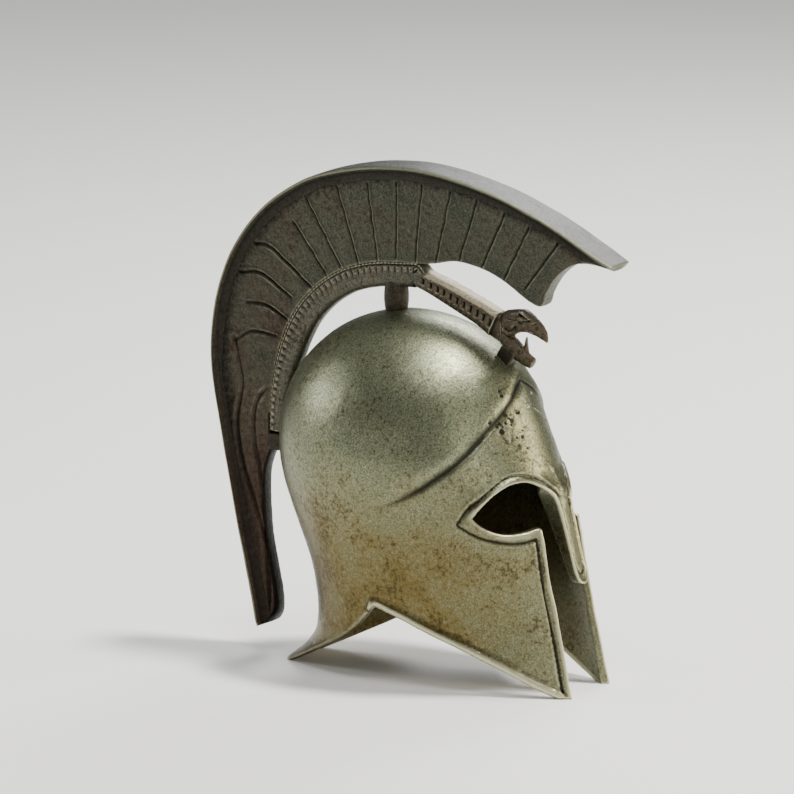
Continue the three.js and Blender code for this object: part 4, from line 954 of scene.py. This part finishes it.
def soft_block(name, size, place, lean):
    """A cast block: fine faces, edges rounded by a bevel, and a slightly uneven skin."""
    work = bmesh.new()
    bmesh.ops.create_cube(work, size=1)
    bmesh.ops.scale(work, vec=Vector(size) * MM, verts=work.verts)
    bmesh.ops.bevel(work, geom=work.edges[:], offset=1.1 * MM, segments=3, affect="EDGES", profile=0.6)
    bmesh.ops.triangulate(work, faces=work.faces)
    bmesh.ops.subdivide_edges(work, edges=[e for e in work.edges if e.calc_length() > 1.2 * MM], cuts=5,
                              use_grid_fill=True)
    bmesh.ops.rotate(work, matrix=Matrix.Rotation(math.radians(lean), 3, "X"), verts=work.verts)
    bmesh.ops.translate(work, vec=Vector(place) * MM, verts=work.verts)
    for v in work.verts:
        v.co += v.normal * noise.noise(v.co / (2.2 * MM)) * 0.16 * MM
    mesh = bpy.data.meshes.new(name + "_cast")
    bmesh.ops.recalc_face_normals(work, faces=work.faces)
    work.to_mesh(mesh)
    work.free()
    mesh.shade_smooth()
    made = bpy.data.objects.new(name + "_cast", mesh)
    bpy.context.collection.objects.link(made)
    return made


foot_low, foot_high = (Vector(v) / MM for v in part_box("front_foot"))
foot_middle = (foot_low + foot_high) / 2
finish_lug("front_foot", soft_block("front_foot", (9, 9, 8.6), foot_middle, 31))
nape_low, nape_high = (Vector(v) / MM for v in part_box("nape_bracket"))
nape_size = nape_high - nape_low
finish_lug("nape_bracket", soft_block("nape_bracket", nape_size, (nape_low + nape_high) / 2, 0))

# Camera, pale table and soft studio light. A long lens looks from 60 degrees round the wearer's right side and
# 12 degrees above the table, and soft boxes stand over, behind and in front of the helmet.
AIM = Vector((-0.0221, 0.0, 0.1497))
FAR, PX_PER_MM, FRAME_PX, SENSOR = 6.0, 1.923, 794, 36
camera = bpy.data.objects.new("camera", bpy.data.cameras.new("camera"))
bpy.context.collection.objects.link(camera)
back = Vector((-0.847101, -0.489074, 0.207912))
camera.location = AIM + back * FAR
camera.rotation_euler = back.to_track_quat("Z", "Y").to_euler()
camera.data.sensor_width = SENSOR
camera.data.lens = PX_PER_MM * FAR * 1000 * SENSOR / FRAME_PX
camera.data.clip_end = 50
bpy.context.scene.camera = camera

table = bpy.data.meshes.new("table")
table.from_pydata([(-9, -9, 0), (9, -9, 0), (9, 9, 0), (-9, 9, 0)], [], [(0, 1, 2, 3)])
floor = bpy.data.objects.new("table", table)
bpy.context.collection.objects.link(floor)
paper = bpy.data.materials.new("pale_paper")
paper.use_nodes = True
paper.node_tree.nodes["Principled BSDF"].inputs["Base Color"].default_value = hex_colour("E6E6E4")
paper.node_tree.nodes["Principled BSDF"].inputs["Roughness"].default_value = 0.8
floor.data.materials.append(paper)

world = bpy.data.worlds.new("studio")
bpy.context.scene.world = world
world.use_nodes = True
world.node_tree.nodes["Background"].inputs["Color"].default_value = hex_colour("E9EDF0")
world.node_tree.nodes["Background"].inputs["Strength"].default_value = 0.2
LAMPS = [("left_softbox", (-0.66, 1.85, 0.72), 0.4, 12, "FFFFFF"),
         ("overhead_softbox", (0.2, -0.52, 2.1), 0.3, 72, "FFFEFA"),
         ("high_softbox", (-0.6, -0.3, 1.85), 0.6, 15, "FFFFFF"),
         ("far_softbox", (1.3, 0.2, 1.1), 0.7, 20, "FFFFFF"),
         ("front_fill", (-1.3, -1.5, 0.6), 0.9, 9, "FFFBF2"),
         ("face_light", (0.75, -1.8, 0.55), 0.8, 30, "FFF3DC")]
for name, place, size, power, tint in LAMPS:
    light = bpy.data.lights.new(name, "AREA")
    light.shape, light.size, light.energy, light.color = "SQUARE", size, power, hex_colour(tint)[:3]
    lamp = bpy.data.objects.new(name, light)
    bpy.context.collection.objects.link(lamp)
    lamp.location = place
    lamp.rotation_euler = (Vector(place) - Vector((0, 0, 0.13))).to_track_quat("Z", "Y").to_euler()
